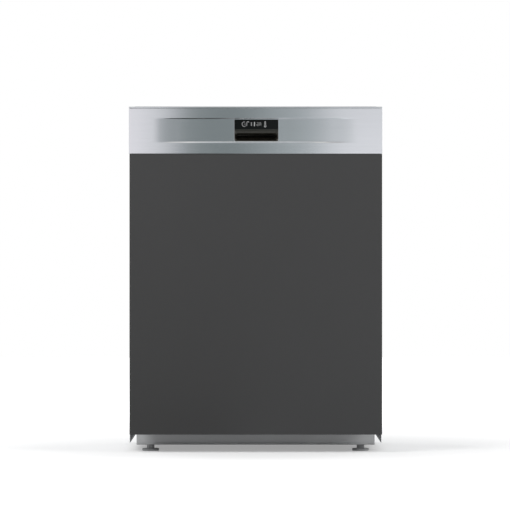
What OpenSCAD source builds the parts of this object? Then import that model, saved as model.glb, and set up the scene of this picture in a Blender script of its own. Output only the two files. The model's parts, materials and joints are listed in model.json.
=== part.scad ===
// Built-in dishwasher, 598 mm wide, with an exposed steel control fascia over a furniture panel.
// Millimetres. +Z up, front towards -Y, origin on the floor under the middle of the whole appliance.

/* [Cabinet] */
// Width over the side panels
cabinet_w = 598; // [596:0.5:600]
// Height over the top cover with the feet wound in
cabinet_h = 818; // [815:1:825]
// Depth from the door's steel skin to the rear cover
cabinet_d = 550; // [545:1:560]
// Underside of the base tray above the floor
ground_gap = 15; // [12:0.5:16]
// Thickness of the steel sheets
sheet = 1; // [0.8:0.1:1.2]
// Wall of the moulded base tray
base_wall = 2.5; // [2:0.1:3]
// Thickness of the sound deadening mats
mat_t = 6; // [4:0.5:7]
// Space behind the tub for ducts and hoses
rear_space = 38; // [36:0.5:42]
// How far the plinth plate stands behind the door's steel skin
plinth_back = 76; // [74:0.5:80]

/* [Front] */
// Height of the steel fascia
fascia_h = 110; // [109:0.5:112]
// Depth of the fascia, from its face to the door's steel skin
fascia_d = 20; // [19:0.5:22]
// Height of the furniture panel
panel_h = 661; // [655:1:663]
// How far each side of the furniture panel stands in from the cabinet's side
panel_side_gap = 1.5; // [1:0.25:3]
// How far the fascia stands proud of the furniture panel
panel_set_back = 1; // [0.5:0.1:2]
// Gap between fascia and furniture panel
front_gap = 1; // [0.5:0.1:2]
// Drop of the door's top edge below the cabinet's top
door_drop = 3; // [2.5:0.1:4]
// Bend radius of the fascia's long edges
fascia_edge_r = 2; // [1.5:0.1:3]

/* [Grip channel] */
// Length of the shallow channel pressed into the fascia
channel_w = 486; // [470:2:500]
// Height of the channel
channel_h = 57; // [55:0.5:60]
// Depth of the channel at the middle of the fascia
channel_depth = 3; // [2:0.25:5]
// Slope of the channel's long walls, seen from the front
channel_draft = 2.5; // [2:0.25:3]
// Length over which each end of the channel fades out
channel_fade = 190; // [150:5:190]
// Height of the channel's middle above the fascia's lower edge
channel_mid = 54.5; // [52:0.5:56]
// Width of the window at the channel's middle
window_w = 100; // [94:1:106]
// Height of the window
window_h = 49.5; // [46:0.5:50]
// Radius of the window's lower corners
window_r = 3.5; // [2:0.5:6]
// Height of the upper, glazed part of the window
glass_h = 22; // [19:0.5:23]
// Depth of the finger recess under the glass, from the fascia's face
grip_depth = 32; // [28:0.5:32]
// Wall of the grip moulding
grip_wall = 2; // [1.5:0.1:2.5]

/* [Door] */
// Depth of the steel door between its skin and its inner face
door_t = 43; // [42:0.5:44]
// How far each side of the steel door box stands in from the cabinet's side
door_side_gap = 9; // [7:0.5:11]
// Width that the door's foot leaves for the hinge on each side
hinge_zone = 14; // [13:0.5:16]
// Height of the narrow part between the hinges, above the floor
door_foot_top = 134; // [132:1:140]
// Lower edge of the door box above the floor
door_foot_z = 62; // [61:0.5:64]
// Height of the hinge axis above the floor
pivot_h = 88; // [87:0.5:89]
// Hinge axis behind the door's steel skin
pivot_back = 12; // [11:0.5:13]
// Radius of the hinge pin
pin_r = 4; // [3.5:0.1:5]
// Radial clearance of the door's pins and of the racks' and arms' axles
pin_clearance = 0.05; // [0.02:0.01:0.1]
// Radius of the rounded end of each hinge plate
hinge_eye_r = 10; // [9:0.25:10.5]
// Thickness of the hinge plates
hinge_t = 3; // [2.5:0.1:3]
// Height of the door's pressed centre over its rim
door_press = 4; // [3:0.25:5]

/* [Tub] */
// Space between each side of the tub and the cabinet's side
tub_side_space = 32; // [31:0.5:35]
// Floor of the tub above the floor of the room
tub_floor_h = 124; // [122:0.5:126]
// Space over the tub's ceiling
roof_space = 26; // [24:0.5:28]
// Gap between the door's inner face and the tub's front flange
seal_gap = 8; // [7:0.25:9]
// Radius of the tub's long corners
tub_r = 28; // [20:1:32]
// Radius of the well in the tub's floor
well_r = 60; // [58:0.5:61]
// Depth of the well's sloping rim
well_drop = 6; // [4:0.5:7]
// Middle of the well in front of the lower spray arm's axis
well_forward = 85; // [84:0.5:88]
// Width of the ledges that the lower rack rolls on
ledge_w = 32; // [31:0.5:34]
// Height of the ledges and of the front lip over the tub's floor
lip_h = 9; // [8:0.5:10]
// Depth of the pressed field in the tub's back wall
back_press = 5; // [3:0.5:6]

/* [Racks] */
// Space beside both racks for their wheels and rails, on each side
rack_side_gap = 32; // [31:1:36]
// Depth of both racks over their wires
rack_d = 408; // [396:1:410]
// Clearance between a rack's front and the closed door
rack_gap = 40; // [38:0.5:42]
// Diameter of the basket wires
wire_d = 3.4; // [3:0.1:4]
// Diameter of the rim wires
rim_d = 5; // [4.5:0.1:5.5]
// Height of the lower rack's floor wires
lower_rack_z = 175; // [174:0.5:177]
// Height of the lower rack's walls
lower_rack_h = 112; // [100:1:116]
// Height of the upper rack's floor wires
upper_rack_z = 500; // [496:1:506]
// Height of the upper rack's walls
upper_rack_h = 118; // [108:1:124]
// Number of wires that run front to back in a rack's floor
wires_across = 11; // [9:2:13]
// Number of wires that run side to side in a rack's floor
wires_along = 8; // [7:1:9]
// Diameter of the lower rack's wheels
wheel_d = 38; // [36:0.5:39]
// Width of a wheel's tread
wheel_w = 9; // [8:0.5:10]
// Radius of the wheels' stub axles
axle_r = 3; // [2.5:0.1:3.5]
// Height of the plate tines
tine_h = 66; // [60:1:68]
// Distance from one tine to the next
tine_pitch = 26; // [24:0.5:27]
// Number of tines in a row
tine_count = 10; // [8:1:11]
// Width of the cutlery basket
cutlery_w = 78; // [74:1:80]
// Length of the cutlery basket
cutlery_l = 216; // [200:2:220]
// Height of the cutlery basket's walls
cutlery_h = 118; // [110:1:122]

/* [Spray arms] */
// Length of the lower spray arm
lower_arm_l = 420; // [400:2:430]
// Length of the upper spray arm
upper_arm_l = 400; // [380:2:404]
// Height of the lower arm's middle above the tub's floor
lower_arm_h = 30; // [29:0.5:31]
// Thickness of a spray arm
arm_t = 10; // [9:0.5:11]
// Width of a spray arm at its hub
arm_w = 46; // [40:1:50]

/* [Controls] */
// Length of a key
key_l = 26; // [22:1:30]
// Depth of a key, front to back
key_d = 9; // [8:0.5:10]
// Distance from one key to the next
key_pitch = 38; // [34:1:40]
// Middle of the first key to the right of the appliance's middle
key_start = 70; // [66:1:74]
// Travel of a key
key_travel = 1.2; // [1:0.1:1.4]
// Gap round a key
key_gap = 0.4; // [0.3:0.05:0.6]

/* [Feet] */
// Radius of a foot's plate
foot_r = 20; // [18:0.5:21]
// Radius of a foot's threaded spindle
foot_spindle_r = 5; // [4:0.25:5.5]
// Middle of each front foot in from the cabinet's side
front_foot_inset = 49; // [46:1:54]

/* [Hidden] */
$fn = 48;
eps = 0.01;

plinth_t = 2;
touch_gap = 0.3;

// Planes that the whole appliance is laid out from, front to back
front_y = -(cabinet_d + fascia_d) / 2;
back_y = -front_y;
skin_y = front_y + fascia_d;
liner_y = skin_y + door_t;
tub_front_y = liner_y + seal_gap;
tub_back_y = back_y - rear_space;
tub_mid_y = (tub_front_y + tub_back_y) / 2;
pivot_y = skin_y + pivot_back;
plinth_y = skin_y + plinth_back;
tray_front_y = plinth_y + plinth_t;
tray_back_y = back_y - sheet;

// Planes from the floor up
base_top = tub_floor_h - sheet - touch_gap;
door_top = cabinet_h - door_drop;
fascia_z = door_top - fascia_h;
panel_z = fascia_z - front_gap - panel_h;
channel_z = fascia_z + channel_mid;
tub_top = cabinet_h - roof_space;
foot_plate_t = 6;

// Widths that neighbours share
panel_w = cabinet_w - 2 * panel_side_gap;
door_w = cabinet_w - 2 * door_side_gap;
door_foot_w = door_w - 2 * hinge_zone;
tub_w = cabinet_w - 2 * tub_side_space;
tub_x = tub_w / 2;
rack_w = tub_w - 2 * rack_side_gap;
hinge_gap = 4;
bracket_x = door_foot_w / 2 + hinge_t + hinge_gap;
tray_x = bracket_x;
side_x = cabinet_w / 2 - sheet;

// ---- Outlines ----

function unit(v) = v / norm(v);

// Points of an arc that rounds the corner p between its neighbours a and b
function corner(a, p, b, r, steps) =
    let (u = unit(a - p), v = unit(b - p), half = acos(u * v) / 2,
         c = p + unit(u + v) * r / sin(half),
         s = p + u * r / tan(half) - c, e = p + v * r / tan(half) - c,
         t0 = atan2(s.y, s.x), turn = atan2(s.x * e.y - s.y * e.x, s * e))
    [for (i = [0 : steps]) c + r * [cos(t0 + turn * i / steps), sin(t0 + turn * i / steps)]];

// A closed outline with every corner rounded to its own radius
function rounded(points, radii, steps = 6) =
    let (n = len(points))
    [for (i = [0 : n - 1])
        each radii[i] > 0
            ? corner(points[(i + n - 1) % n], points[i], points[(i + 1) % n], radii[i], steps)
            : [points[i]]];

function rect(w, h, r, steps = 6) =
    rounded([[-w / 2, -h / 2], [w / 2, -h / 2], [w / 2, h / 2], [-w / 2, h / 2]],
            [r, r, r, r], steps);

// Slabs whose outline lies in the XZ, YZ or XY plane, from the first to the second height
module slab_y(points, y0, y1) {
    translate([0, y1, 0]) rotate([90, 0, 0]) linear_extrude(y1 - y0) polygon(points);
}
module slab_x(points, x0, x1) {
    translate([x0, 0, 0]) rotate([90, 0, 90]) linear_extrude(x1 - x0) polygon(points);
}
module slab_z(points, z0, z1) {
    translate([0, 0, z0]) linear_extrude(z1 - z0) polygon(points);
}
module block(a, b) {
    translate(a) cube(b - a);
}
module both_sides() {
    children();
    mirror([1, 0, 0]) children();
}
module rod_x(x0, x1, y, z, r) {
    translate([x0, y, z]) rotate([0, 90, 0]) cylinder(r = r, h = x1 - x0);
}
module rod_y(y0, y1, x, z, r) {
    translate([x, y0, z]) rotate([-90, 0, 0]) cylinder(r = r, h = y1 - y0);
}
module rod_z(z0, z1, x, y, r) {
    translate([x, y, z0]) cylinder(r = r, h = z1 - z0);
}
module ring_z(z0, z1, x, y, r_out, r_in) {
    translate([x, y, z0]) difference() {
        cylinder(r = r_out, h = z1 - z0);
        translate([0, 0, -1]) cylinder(r = r_in, h = z1 - z0 + 2);
    }
}

// ---- Base ----

foot_bore_r = foot_spindle_r + 0.4;
foot_boss_r = foot_bore_r + 4;
foot_boss_top = base_top - 12;
front_foot_x = cabinet_w / 2 - front_foot_inset;
front_foot_y = tray_front_y + foot_r + 4;
rear_foot_y = tray_back_y - foot_r - 12;
rib_t = 2;
rib_h = 6;
rib_count = 10;
rib_top = ground_gap + base_wall + rib_h;
function rib_x(i) = -tray_x + i * 2 * tray_x / (rib_count + 1);

module foot_places() {
    for (x = [-front_foot_x, front_foot_x]) translate([x, front_foot_y, 0]) children();
    translate([0, rear_foot_y, 0]) children();
}

// Moulded tray with a ribbed floor and a boss over each foot
module base_tray() {
    color("dimgray") difference() {
        union() {
            difference() {
                block([-tray_x, tray_front_y, ground_gap], [tray_x, tray_back_y, base_top]);
                block([-tray_x + base_wall, tray_front_y + base_wall, ground_gap + base_wall],
                      [tray_x - base_wall, tray_back_y - base_wall, base_top + 1]);
            }
            for (i = [1 : rib_count])
                block([rib_x(i) - rib_t / 2, tray_front_y + eps, ground_gap + eps],
                      [rib_x(i) + rib_t / 2, tray_back_y - eps, rib_top]);
            foot_places() rod_z(ground_gap, foot_boss_top, 0, 0, foot_boss_r);
        }
        foot_places() rod_z(ground_gap - 1, foot_boss_top + 1, 0, 0, foot_bore_r);
        hose_opening(tray_back_y - base_wall - 1, tray_back_y + 1);
    }
}

hose_opening_w = 130;
hose_opening_h = 60;
hose_inset = 33;
hose_x = tray_x - hose_opening_w / 2 - hose_inset;
hose_z = 72;

// The opening at the back that the hoses pass through
module hose_opening(y0, y1, grow = 0) {
    outline = rect(hose_opening_w + 2 * grow, hose_opening_h + 2 * grow, 8 + grow);
    slab_y([for (p = outline) p + [hose_x, hose_z]], y0, y1);
}

// Plinth plate with a folded lower edge
module plinth_plate() {
    fold = 14;
    color("black") {
        block([-tray_x, plinth_y, ground_gap + 2], [tray_x, tray_front_y - eps, base_top - 2]);
        block([-tray_x, plinth_y - fold, ground_gap + 2],
              [tray_x, plinth_y + eps, ground_gap + 2 + sheet]);
    }
}

// One levelling foot: a ribbed plate, a hexagon to turn and a spindle
module foot(x, y) {
    hexagon_h = 8;
    color("dimgray") translate([x, y, 0]) difference() {
        union() {
            rotate_extrude() polygon(rounded(
                [[0, 0], [foot_r, 0], [foot_r, foot_plate_t], [0, foot_plate_t + 1]],
                [0, 1.5, 2, 0]));
            rod_z(foot_plate_t - 1, foot_boss_top - 4, 0, 0, foot_spindle_r);
            cylinder(r = foot_spindle_r + 4, h = foot_plate_t + hexagon_h, $fn = 6);
        }
        for (a = [0 : 45 : 315]) rotate(a) rod_z(-1, 1.2, foot_r * 0.7, 0, 2);
    }
}
module foot_front_left() { foot(-front_foot_x, front_foot_y); }
module foot_front_right() { foot(front_foot_x, front_foot_y); }
module foot_rear() { foot(0, rear_foot_y); }

shaft_r = 3;
shaft_z = ground_gap + base_wall + 8;

// Long shaft that turns the rear foot from the front of the base
module rear_foot_shaft() {
    gear_r = 9;
    color("lightgray") {
        rod_y(tray_front_y + base_wall + touch_gap, rear_foot_y - foot_boss_r - 6, 0, shaft_z, shaft_r);
        rod_y(rear_foot_y - foot_boss_r - 12, rear_foot_y - foot_boss_r - 1, 0, shaft_z - 2, gear_r - 3);
    }
}

// ---- Outer sheets ----

panel_bottom = ground_gap + 5;
flange_in = 12;

// Left and right side sheets, notched over the plinth, with a folded front edge
module side_panels() {
    profile = [[tub_front_y, base_top], [plinth_y, base_top], [plinth_y, panel_bottom],
               [tray_back_y, panel_bottom], [tray_back_y, cabinet_h - sheet],
               [tub_front_y, cabinet_h - sheet]];
    color("silver") both_sides() {
        slab_x(profile, side_x, side_x + sheet);
        block([side_x - flange_in, tub_front_y, base_top + 30],
              [side_x + eps, tub_front_y + sheet, cabinet_h - sheet]);
    }
}

module top_cover() {
    color("silver")
        block([-side_x - sheet, rail_back_y + touch_gap, cabinet_h - sheet],
              [side_x + sheet, tray_back_y, cabinet_h]);
}

// Rear cover with an opening for the hoses and two rows of vents
module rear_cover() {
    vent = rect(46, 5, 2.4, 4);
    color("silver") difference() {
        block([-side_x - sheet, tray_back_y, panel_bottom], [side_x + sheet, back_y, cabinet_h]);
        hose_opening(tray_back_y - 1, back_y + 1);
        for (x = [-3 : 3], z = [0 : 1])
            slab_y([for (p = vent) p + [x * 62, cabinet_h - 60 - 16 * z]],
                   tray_back_y - 1, back_y + 1);
    }
}

rail_back_y = tub_front_y + 30;
top_rail_t = 1.5;
tab_hole_r = 2.5;
tab_inset = 59;
tab_pitch = cabinet_w - 2 * tab_inset;
strike_w = 18;
strike_t = 3;
strike_reach = 20;
strike_z = door_top - 9;

// Top rail over the tub's mouth: folded steel with the worktop screw holes and the door's strike
module front_rail() {
    rail_z = tub_top + tub_flange;
    y1 = tub_front_y + top_rail_t;
    y2 = rail_back_y - top_rail_t;
    z1 = cabinet_h - top_rail_t;
    profile = [[tub_front_y, rail_z], [y1, rail_z], [y1, z1], [y2, z1], [y2, rail_z + 4],
               [rail_back_y, rail_z + 4], [rail_back_y, cabinet_h], [tub_front_y, cabinet_h]];
    color("gainsboro") {
        difference() {
            slab_x(profile, -side_x + flange_in, side_x - flange_in);
            for (x = [-tab_pitch / 2, tab_pitch / 2])
                rod_z(cabinet_h - 3, cabinet_h + 1, x, tub_front_y + 15, tab_hole_r);
        }
        difference() {
            slab_z([for (p = rect(strike_w, strike_reach + 6, 3))
                        p + [0, tub_front_y - strike_reach / 2 + 3]],
                   strike_z, strike_z + strike_t);
            slab_z([for (p = rect(strike_w - 8, 7, 2)) p + [0, tub_front_y - strike_reach + 7]],
                   strike_z - 1, strike_z + strike_t + 1);
        }
    }
}

// ---- Tub ----

tub_flange = 14;
rim_z = tub_floor_h + tub_r;

// Outline of the inside of the tub's walls, open at the bottom
function wrap_outline(grow) =
    let (x = tub_x + grow, z1 = tub_top + grow)
    rounded([[x, rim_z], [x, z1], [-x, z1], [-x, rim_z]], [0, tub_r + grow, tub_r + grow, 0]);

// Outline of the tub's floor pan, from rim to rim, with a ledge along each side
function pan_outline(grow) =
    let (x = tub_x + grow, z0 = tub_floor_h - grow, z1 = tub_floor_h + lip_h - grow,
         xi = tub_x - ledge_w + grow)
    rounded([[-x, rim_z], [-x, z1], [-xi, z1], [-xi + 3, z0], [xi - 3, z0], [xi, z1], [x, z1], [x, rim_z]],
            [0, 8 + grow, 0, 0, 0, 0, 8 + grow, 0]);

// The same outline without the ledges, for the flange at the mouth
function mouth_bottom(grow) =
    let (x = tub_x + grow, z0 = tub_floor_h + lip_h - grow)
    rounded([[-x, rim_z], [-x, z0], [x, z0], [x, rim_z]], [0, 8 + grow, 8 + grow, 0]);

// Sides and ceiling in one folded sheet, with a flange round the mouth
module tub_wrap() {
    color("lightgray") difference() {
        union() {
            slab_y(wrap_outline(sheet), tub_front_y, tub_back_y);
            slab_y(wrap_outline(tub_flange), tub_front_y, tub_front_y + sheet);
        }
        slab_y([for (p = wrap_outline(0)) [p.x, p.y > rim_z ? p.y : rim_z - 1]],
               tub_front_y - 1, tub_back_y + 1);
    }
}

// Back wall: a pressed sheet with a raised field
module tub_back_wall() {
    w = 2 * tub_x;
    h = tub_top - tub_floor_h;
    mid_z = (tub_top + tub_floor_h) / 2;
    press_margin = 46;
    press = back_press;
    outline = rect(w, h, tub_r);
    pressed = rect(w - 2 * press_margin, h - 2 * press_margin, 24);
    hollow = rect(w - 2 * press_margin - 2 * sheet, h - 2 * press_margin - 2 * sheet, 23);
    color("lightgray") difference() {
        union() {
            slab_y([for (p = outline) p + [0, mid_z]], tub_back_y - sheet, tub_back_y);
            slab_y([for (p = pressed) p + [0, mid_z]],
                   tub_back_y - sheet - press, tub_back_y);
        }
        slab_y([for (p = hollow) p + [0, mid_z]], tub_back_y - press, tub_back_y + 1);
    }
}

sump_y = tub_mid_y - well_forward;
neck_r = 40;
pedestal_r = 15;
salt_x = -150;
salt_y = tub_mid_y - 96;
salt_neck_r = 26;

function open_top(points) = [for (p = points) [p.x, p.y >= rim_z ? rim_z + 1 : p.y]];

// Floor pan with a conical well, a raised front lip and openings for the sump, the lower arm's
// pedestal and the salt filler
module tub_floor() {
    color("lightgray") difference() {
        union() {
            difference() {
                slab_y(pan_outline(sheet), tub_front_y, tub_back_y - sheet - touch_gap);
                slab_y(open_top(pan_outline(0)), tub_front_y + sheet, tub_back_y);
                slab_y(open_top(mouth_bottom(0)), tub_front_y - 1, tub_front_y + sheet + eps);
            }
            difference() {
                slab_y(mouth_bottom(tub_flange), tub_front_y, tub_front_y + sheet);
                slab_y(open_top(mouth_bottom(0)), tub_front_y - 1, tub_front_y + sheet + 1);
            }
            translate([0, sump_y, tub_floor_h - well_drop - sheet])
                cylinder(r1 = neck_r + sheet, r2 = well_r + sheet, h = well_drop + sheet);
        }
        translate([0, sump_y, tub_floor_h - well_drop])
            cylinder(r1 = neck_r, r2 = well_r + 1, h = well_drop + eps);
        rod_z(tub_floor_h - well_drop - sheet - 1, tub_floor_h, 0, sump_y, neck_r - sheet);
        rod_z(tub_floor_h - sheet - 1, tub_floor_h + 1, 0, tub_mid_y, pedestal_r + 0.5);
        rod_z(tub_floor_h - sheet - 1, tub_floor_h + 1, salt_x, salt_y, salt_neck_r + 0.5);
        rod_z(tub_floor_h - sheet - 1, tub_floor_h + 1, 0, duct_y0 + duct_t / 2, riser_r + 0.5);
    }
}

// Rubber profile round the tub's mouth
module door_gasket() {
    outer = tub_flange - 2;
    inner = 3;
    color("dimgray") difference() {
        slab_y(mouth_outline(outer), liner_y + touch_gap, tub_front_y);
        slab_y(mouth_outline(inner), liner_y + touch_gap - 1, tub_front_y + 1);
    }
}
function mouth_outline(grow) =
    let (x = tub_x + grow, z0 = tub_floor_h + lip_h - grow / 2, z1 = tub_top + grow, r = tub_r + grow)
    rounded([[-x, z0], [x, z0], [x, z1], [-x, z1]], [r, r, r, r]);

// Bitumen mats on the tub's sides, ceiling and back
module deadening_mats() {
    front = tub_front_y + 40;
    back = tub_back_y - 20;
    gap = sheet + touch_gap;
    color("black") {
        both_sides()
            block([tub_x + gap, front, rim_z + 30], [tub_x + gap + mat_t, back, tub_top - tub_r]);
        block([-tub_x + tub_r, front, tub_top + gap], [tub_x - tub_r, back, tub_top + gap + mat_t]);
        block([-tub_x + 60, tub_back_y - back_press + touch_gap, tub_floor_h + 150],
              [tub_x - 60, tub_back_y - back_press + touch_gap + mat_t, tub_top - 60]);
    }
}

// ---- Water and power, in the base and round the tub ----

sump_floor_z = ground_gap + base_wall + 16;
sump_top_z = tub_floor_h - well_drop - sheet - touch_gap;
sump_r = 46;
sump_wall = 2.5;
pump_y = tub_mid_y + 58;
arm_axle_r = 6;
hub_cap = 2;
lower_arm_z = tub_floor_h + lower_arm_h;
pump_z = ground_gap + base_wall + 54;

// Moulded bowl under the well, with the pedestal that carries the lower spray arm
module sump() {
    duct_top = tub_floor_h - sheet - touch_gap;
    color("dimgray") difference() {
        union() {
            translate([0, sump_y, 0]) rotate_extrude() polygon(rounded(
                [[0, sump_floor_z], [sump_r - 8, sump_floor_z], [sump_r, sump_top_z - 30],
                 [sump_r, sump_top_z], [0, sump_top_z]], [0, 8, 6, 0, 0]));
            slab_z([for (p = rect(34, well_forward, 0)) p + [0, sump_y + well_forward / 2]],
                   duct_top - 32, duct_top - well_drop);
            rod_z(duct_top - 32, duct_top, 0, tub_mid_y, pedestal_r + 4);
            rod_z(duct_top - 1, lower_arm_z - arm_t / 2 - 1, 0, tub_mid_y, pedestal_r);
            rod_z(lower_arm_z - arm_t / 2 - 2, lower_arm_z + arm_t - hub_cap - touch_gap,
                  0, tub_mid_y, arm_axle_r);
            rod_x(-sump_r - 22, 0, pump_inlet_y, pump_z - 6, 13);
            rod_x(0, sump_r + 10, sump_y, drain_z, 11);
        }
        translate([0, sump_y, 0]) rotate_extrude() polygon(
            [[0, sump_floor_z + sump_wall], [sump_r - 8 - sump_wall, sump_floor_z + sump_wall],
             [sump_r - sump_wall - 6, sump_top_z - 28], [neck_r - sheet - 1, sump_top_z + 1],
             [0, sump_top_z + 1]]);
        rod_x(-sump_r - 23, -20, pump_inlet_y, pump_z - 6, 10.5);
        rod_x(20, sump_r + 11, sump_y, drain_z, 8.5);
    }
}

pump_inlet_y = sump_y + 14;
drain_z = sump_floor_z + 14;

// Circulation pump: volute with a heating ring, motor can with cooling ribs, and its spigots
module circulation_pump() {
    volute_r = 40;
    motor_r = 33;
    volute_x = -sump_r - 58;
    motor_l = 92;
    color("darkslategray") {
        difference() {
            union() {
                translate([volute_x, pump_y, pump_z]) rotate([0, 90, 0]) rotate_extrude() polygon(rounded(
                    [[0, 0], [volute_r, 0], [volute_r, 30], [18, 36], [18, 40], [0, 40]],
                    [0, 6, 8, 0, 0, 0]));
                translate([volute_x - motor_l, pump_y, pump_z]) rotate([0, 90, 0])
                    rotate_extrude() polygon(rounded(
                        [[0, 0], [motor_r - 6, 0], [motor_r, 8], [motor_r, motor_l + 1], [0, motor_l + 1]],
                        [0, 3, 4, 0, 0]));
                for (i = [0 : 4])
                    rod_x(volute_x - 26 - 12 * i, volute_x - 22 - 12 * i, pump_y, pump_z, motor_r + 3);
            }
            rod_x(volute_x + 30, volute_x + 41, pump_y, pump_z, 14);
        }
        block([volute_x - motor_l + 10, pump_y - motor_r - 14, pump_z - 16],
              [volute_x - motor_l + 52, pump_y - motor_r + 4, pump_z + 16]);
        for (s = [-1, 1])
            block([rib_x(3) - 7, pump_y + 22 * s - 5, rib_top + touch_gap],
                  [rib_x(3) + 7, pump_y + 22 * s + 5, pump_z - 20]);
    }
}

// Drain pump beside the sump
module drain_pump() {
    x0 = sump_r + 10 + touch_gap;
    color("darkslategray") {
        rod_x(x0, x0 + 24, sump_y, drain_z, 17);
        rod_x(x0 + 23, x0 + 60, sump_y, drain_z, 14);
        rod_x(x0 + 59, x0 + 64, sump_y, drain_z, 10);
        rod_y(sump_y + 10, sump_y + 44, x0 + 12, drain_z + 6, 8);
    }
}

recess_depth = 34;
inlet_r = 13.2;
inlet_collar_r = 15;
spigot_r = 10;
spigot_l = 28;
inlet_x = hose_x - 32;
drain_x = hose_x + 34;
recess_floor_y = tray_back_y - base_wall - touch_gap - recess_depth;

// Recess for the hoses in the back of the base, with the drain spigot
module hose_connectors() {
    color("dimgray") {
        difference() {
            union() {
                hose_opening(recess_floor_y, tray_back_y - base_wall - touch_gap, 2);
                rod_y(recess_floor_y - 20, recess_floor_y + 1, drain_x, hose_z, spigot_r);
            }
            hose_opening(recess_floor_y + 2, tray_back_y);
            rod_y(recess_floor_y - 1, recess_floor_y + 3, inlet_x, hose_z, inlet_collar_r + 0.5);
            rod_y(recess_floor_y - 21, recess_floor_y + 3, drain_x, hose_z, spigot_r - 2.5);
        }
        difference() {
            rod_y(recess_floor_y + 1, recess_floor_y + 2 + spigot_l, drain_x, hose_z, spigot_r);
            rod_y(recess_floor_y - 1, recess_floor_y + 3 + spigot_l, drain_x, hose_z, spigot_r - 2.5);
        }
    }
}

// Inlet valve: threaded spigot, body and solenoid
module inlet_valve() {
    y0 = recess_floor_y - touch_gap;
    color("whitesmoke") {
        difference() {
            union() {
                rod_y(y0 - 14, recess_floor_y + 3, inlet_x, hose_z, inlet_collar_r);
                rod_y(recess_floor_y + 2, recess_floor_y + 3 + spigot_l, inlet_x, hose_z, inlet_r);
            }
            rod_y(y0 - 10, recess_floor_y + 4 + spigot_l, inlet_x, hose_z, inlet_r - 3.5);
        }
        block([inlet_x - 18, y0 - 40, hose_z - 14], [inlet_x + 18, y0 - 13, hose_z + 14]);
        rod_z(hose_z + 13, hose_z + 40, inlet_x, y0 - 27, 12);
        rod_x(inlet_x - 34, inlet_x - 17, y0 - 27, hose_z, 6);
    }
}

// Water softener with the neck of its salt filler through the tub's floor
module water_softener() {
    w = 96;
    d = 104;
    z0 = rib_top + touch_gap;
    z1 = tub_floor_h - sheet - 6;
    color("whitesmoke") difference() {
        union() {
            slab_z([for (p = rect(w, d, 14)) p + [salt_x - 14, salt_y + 4]], z0, z1);
            for (i = [-2 : 2])
                slab_z([for (p = rect(5, d + 6, 2)) p + [salt_x - 14 + 18 * i, salt_y + 4]], z0 + 6, z1 - 6);
            rod_z(z1 - 1, tub_floor_h - sheet - touch_gap, salt_x, salt_y, salt_neck_r + 6);
            rod_z(z1 - 1, tub_floor_h + 5, salt_x, salt_y, salt_neck_r);
        }
        rod_z(z0 + 4, tub_floor_h + 6, salt_x, salt_y, salt_neck_r - 3);
    }
}

cap_clearance = 0.4;

// Screw cap of the salt filler, with a grip bar
module salt_cap() {
    z0 = tub_floor_h + touch_gap;
    r_in = salt_neck_r + cap_clearance;
    color("white") difference() {
        union() {
            rod_z(z0, z0 + 9, salt_x, salt_y, r_in + 2.5);
            slab_z([for (p = rect(2 * r_in - 6, 9, 3)) p + [salt_x, salt_y]], z0 + 8, z0 + 14);
        }
        rod_z(z0 - 1, tub_floor_h + 5 + cap_clearance + 0.6, salt_x, salt_y, r_in);
    }
}

filter_r = 30;
filter_top = tub_floor_h + 14;

// Flat filter round the well's mouth, with two rings of holes
module filter_plate() {
    z0 = tub_floor_h + touch_gap;
    r_out = well_r + 4;
    r_in = filter_r + 2.5;
    hole_r = 2;
    color("silver") difference() {
        ring_z(z0, z0 + 1.2, 0, sump_y, r_out, r_in);
        translate([0, sump_y, 0]) {
            for (a = [0 : 15 : 345]) rotate(a) rod_z(z0 - 1, z0 + 3, r_in + 8, 0, hole_r);
            for (a = [0 : 12 : 348]) rotate(a) rod_z(z0 - 1, z0 + 3, r_in + 18, 0, hole_r);
        }
    }
}

// Filter cylinder that twists out: open ribs, a collar over the flat filter and a grip
module filter_cylinder() {
    z0 = sump_floor_z + sump_wall + 4;
    collar_z = tub_floor_h + touch_gap + 1.2 + touch_gap;
    color("lightslategray") translate([0, sump_y, 0]) difference() {
        union() {
            ring_z(z0, z0 + 5, 0, 0, filter_r - 2, filter_r - 12);
            ring_z(sump_top_z - 4, collar_z + 1, 0, 0, filter_r, filter_r - 4);
            ring_z(collar_z, collar_z + 3, 0, 0, filter_r + 5, filter_r - 5);
            for (a = [0 : 30 : 330]) rotate(a)
                block([filter_r - 6, -1.5, z0 + eps], [filter_r - 3, 1.5, collar_z + 1]);
            slab_z(rect(2 * filter_r - 2, 7, 3), collar_z + eps, filter_top);
            rod_z(z0 + eps, filter_top, 0, 0, 5);
            slab_z(rect(2 * filter_r - 12, 3, 1), z0, z0 + 4.5);
        }
    }
}

chamber_x0 = tub_x + sheet + touch_gap + mat_t + 1.5;

// Flat moulded water chamber beside the tub, with its winding channels
module water_chamber() {
    x1 = side_x - touch_gap;
    y0 = tub_mid_y - 110;
    w = 210;
    z0 = rim_z + 50;
    h = 430;
    bay = (h - 20) / 5;
    channel = 6;
    frame = [for (p = rect(w, h, 16)) p + [y0 + w / 2, z0 + h / 2]];
    color("whitesmoke") difference() {
        slab_x(frame, -x1, -chamber_x0);
        for (i = [0 : 4])
            slab_x([for (p = rect(w - 40, bay - 28, 10))
                        p + [y0 + w / 2 + (i % 2 == 0 ? 6 : -6), z0 + 9 + (i + 0.5) * bay]],
                   -x1 - 1, -x1 + channel);
    }
}

duct_w = 34;
duct_t = 12;
duct_y1 = tub_back_y - sheet - back_press - touch_gap;
duct_y0 = duct_y1 - duct_t;
nozzle_r = 22;
riser_r = duct_t / 2 - 1;
pump_outlet_x = -sump_r - 41;
dock_l = 14;
dock_r = 15;
feed_z = upper_rack_z - 22;

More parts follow.
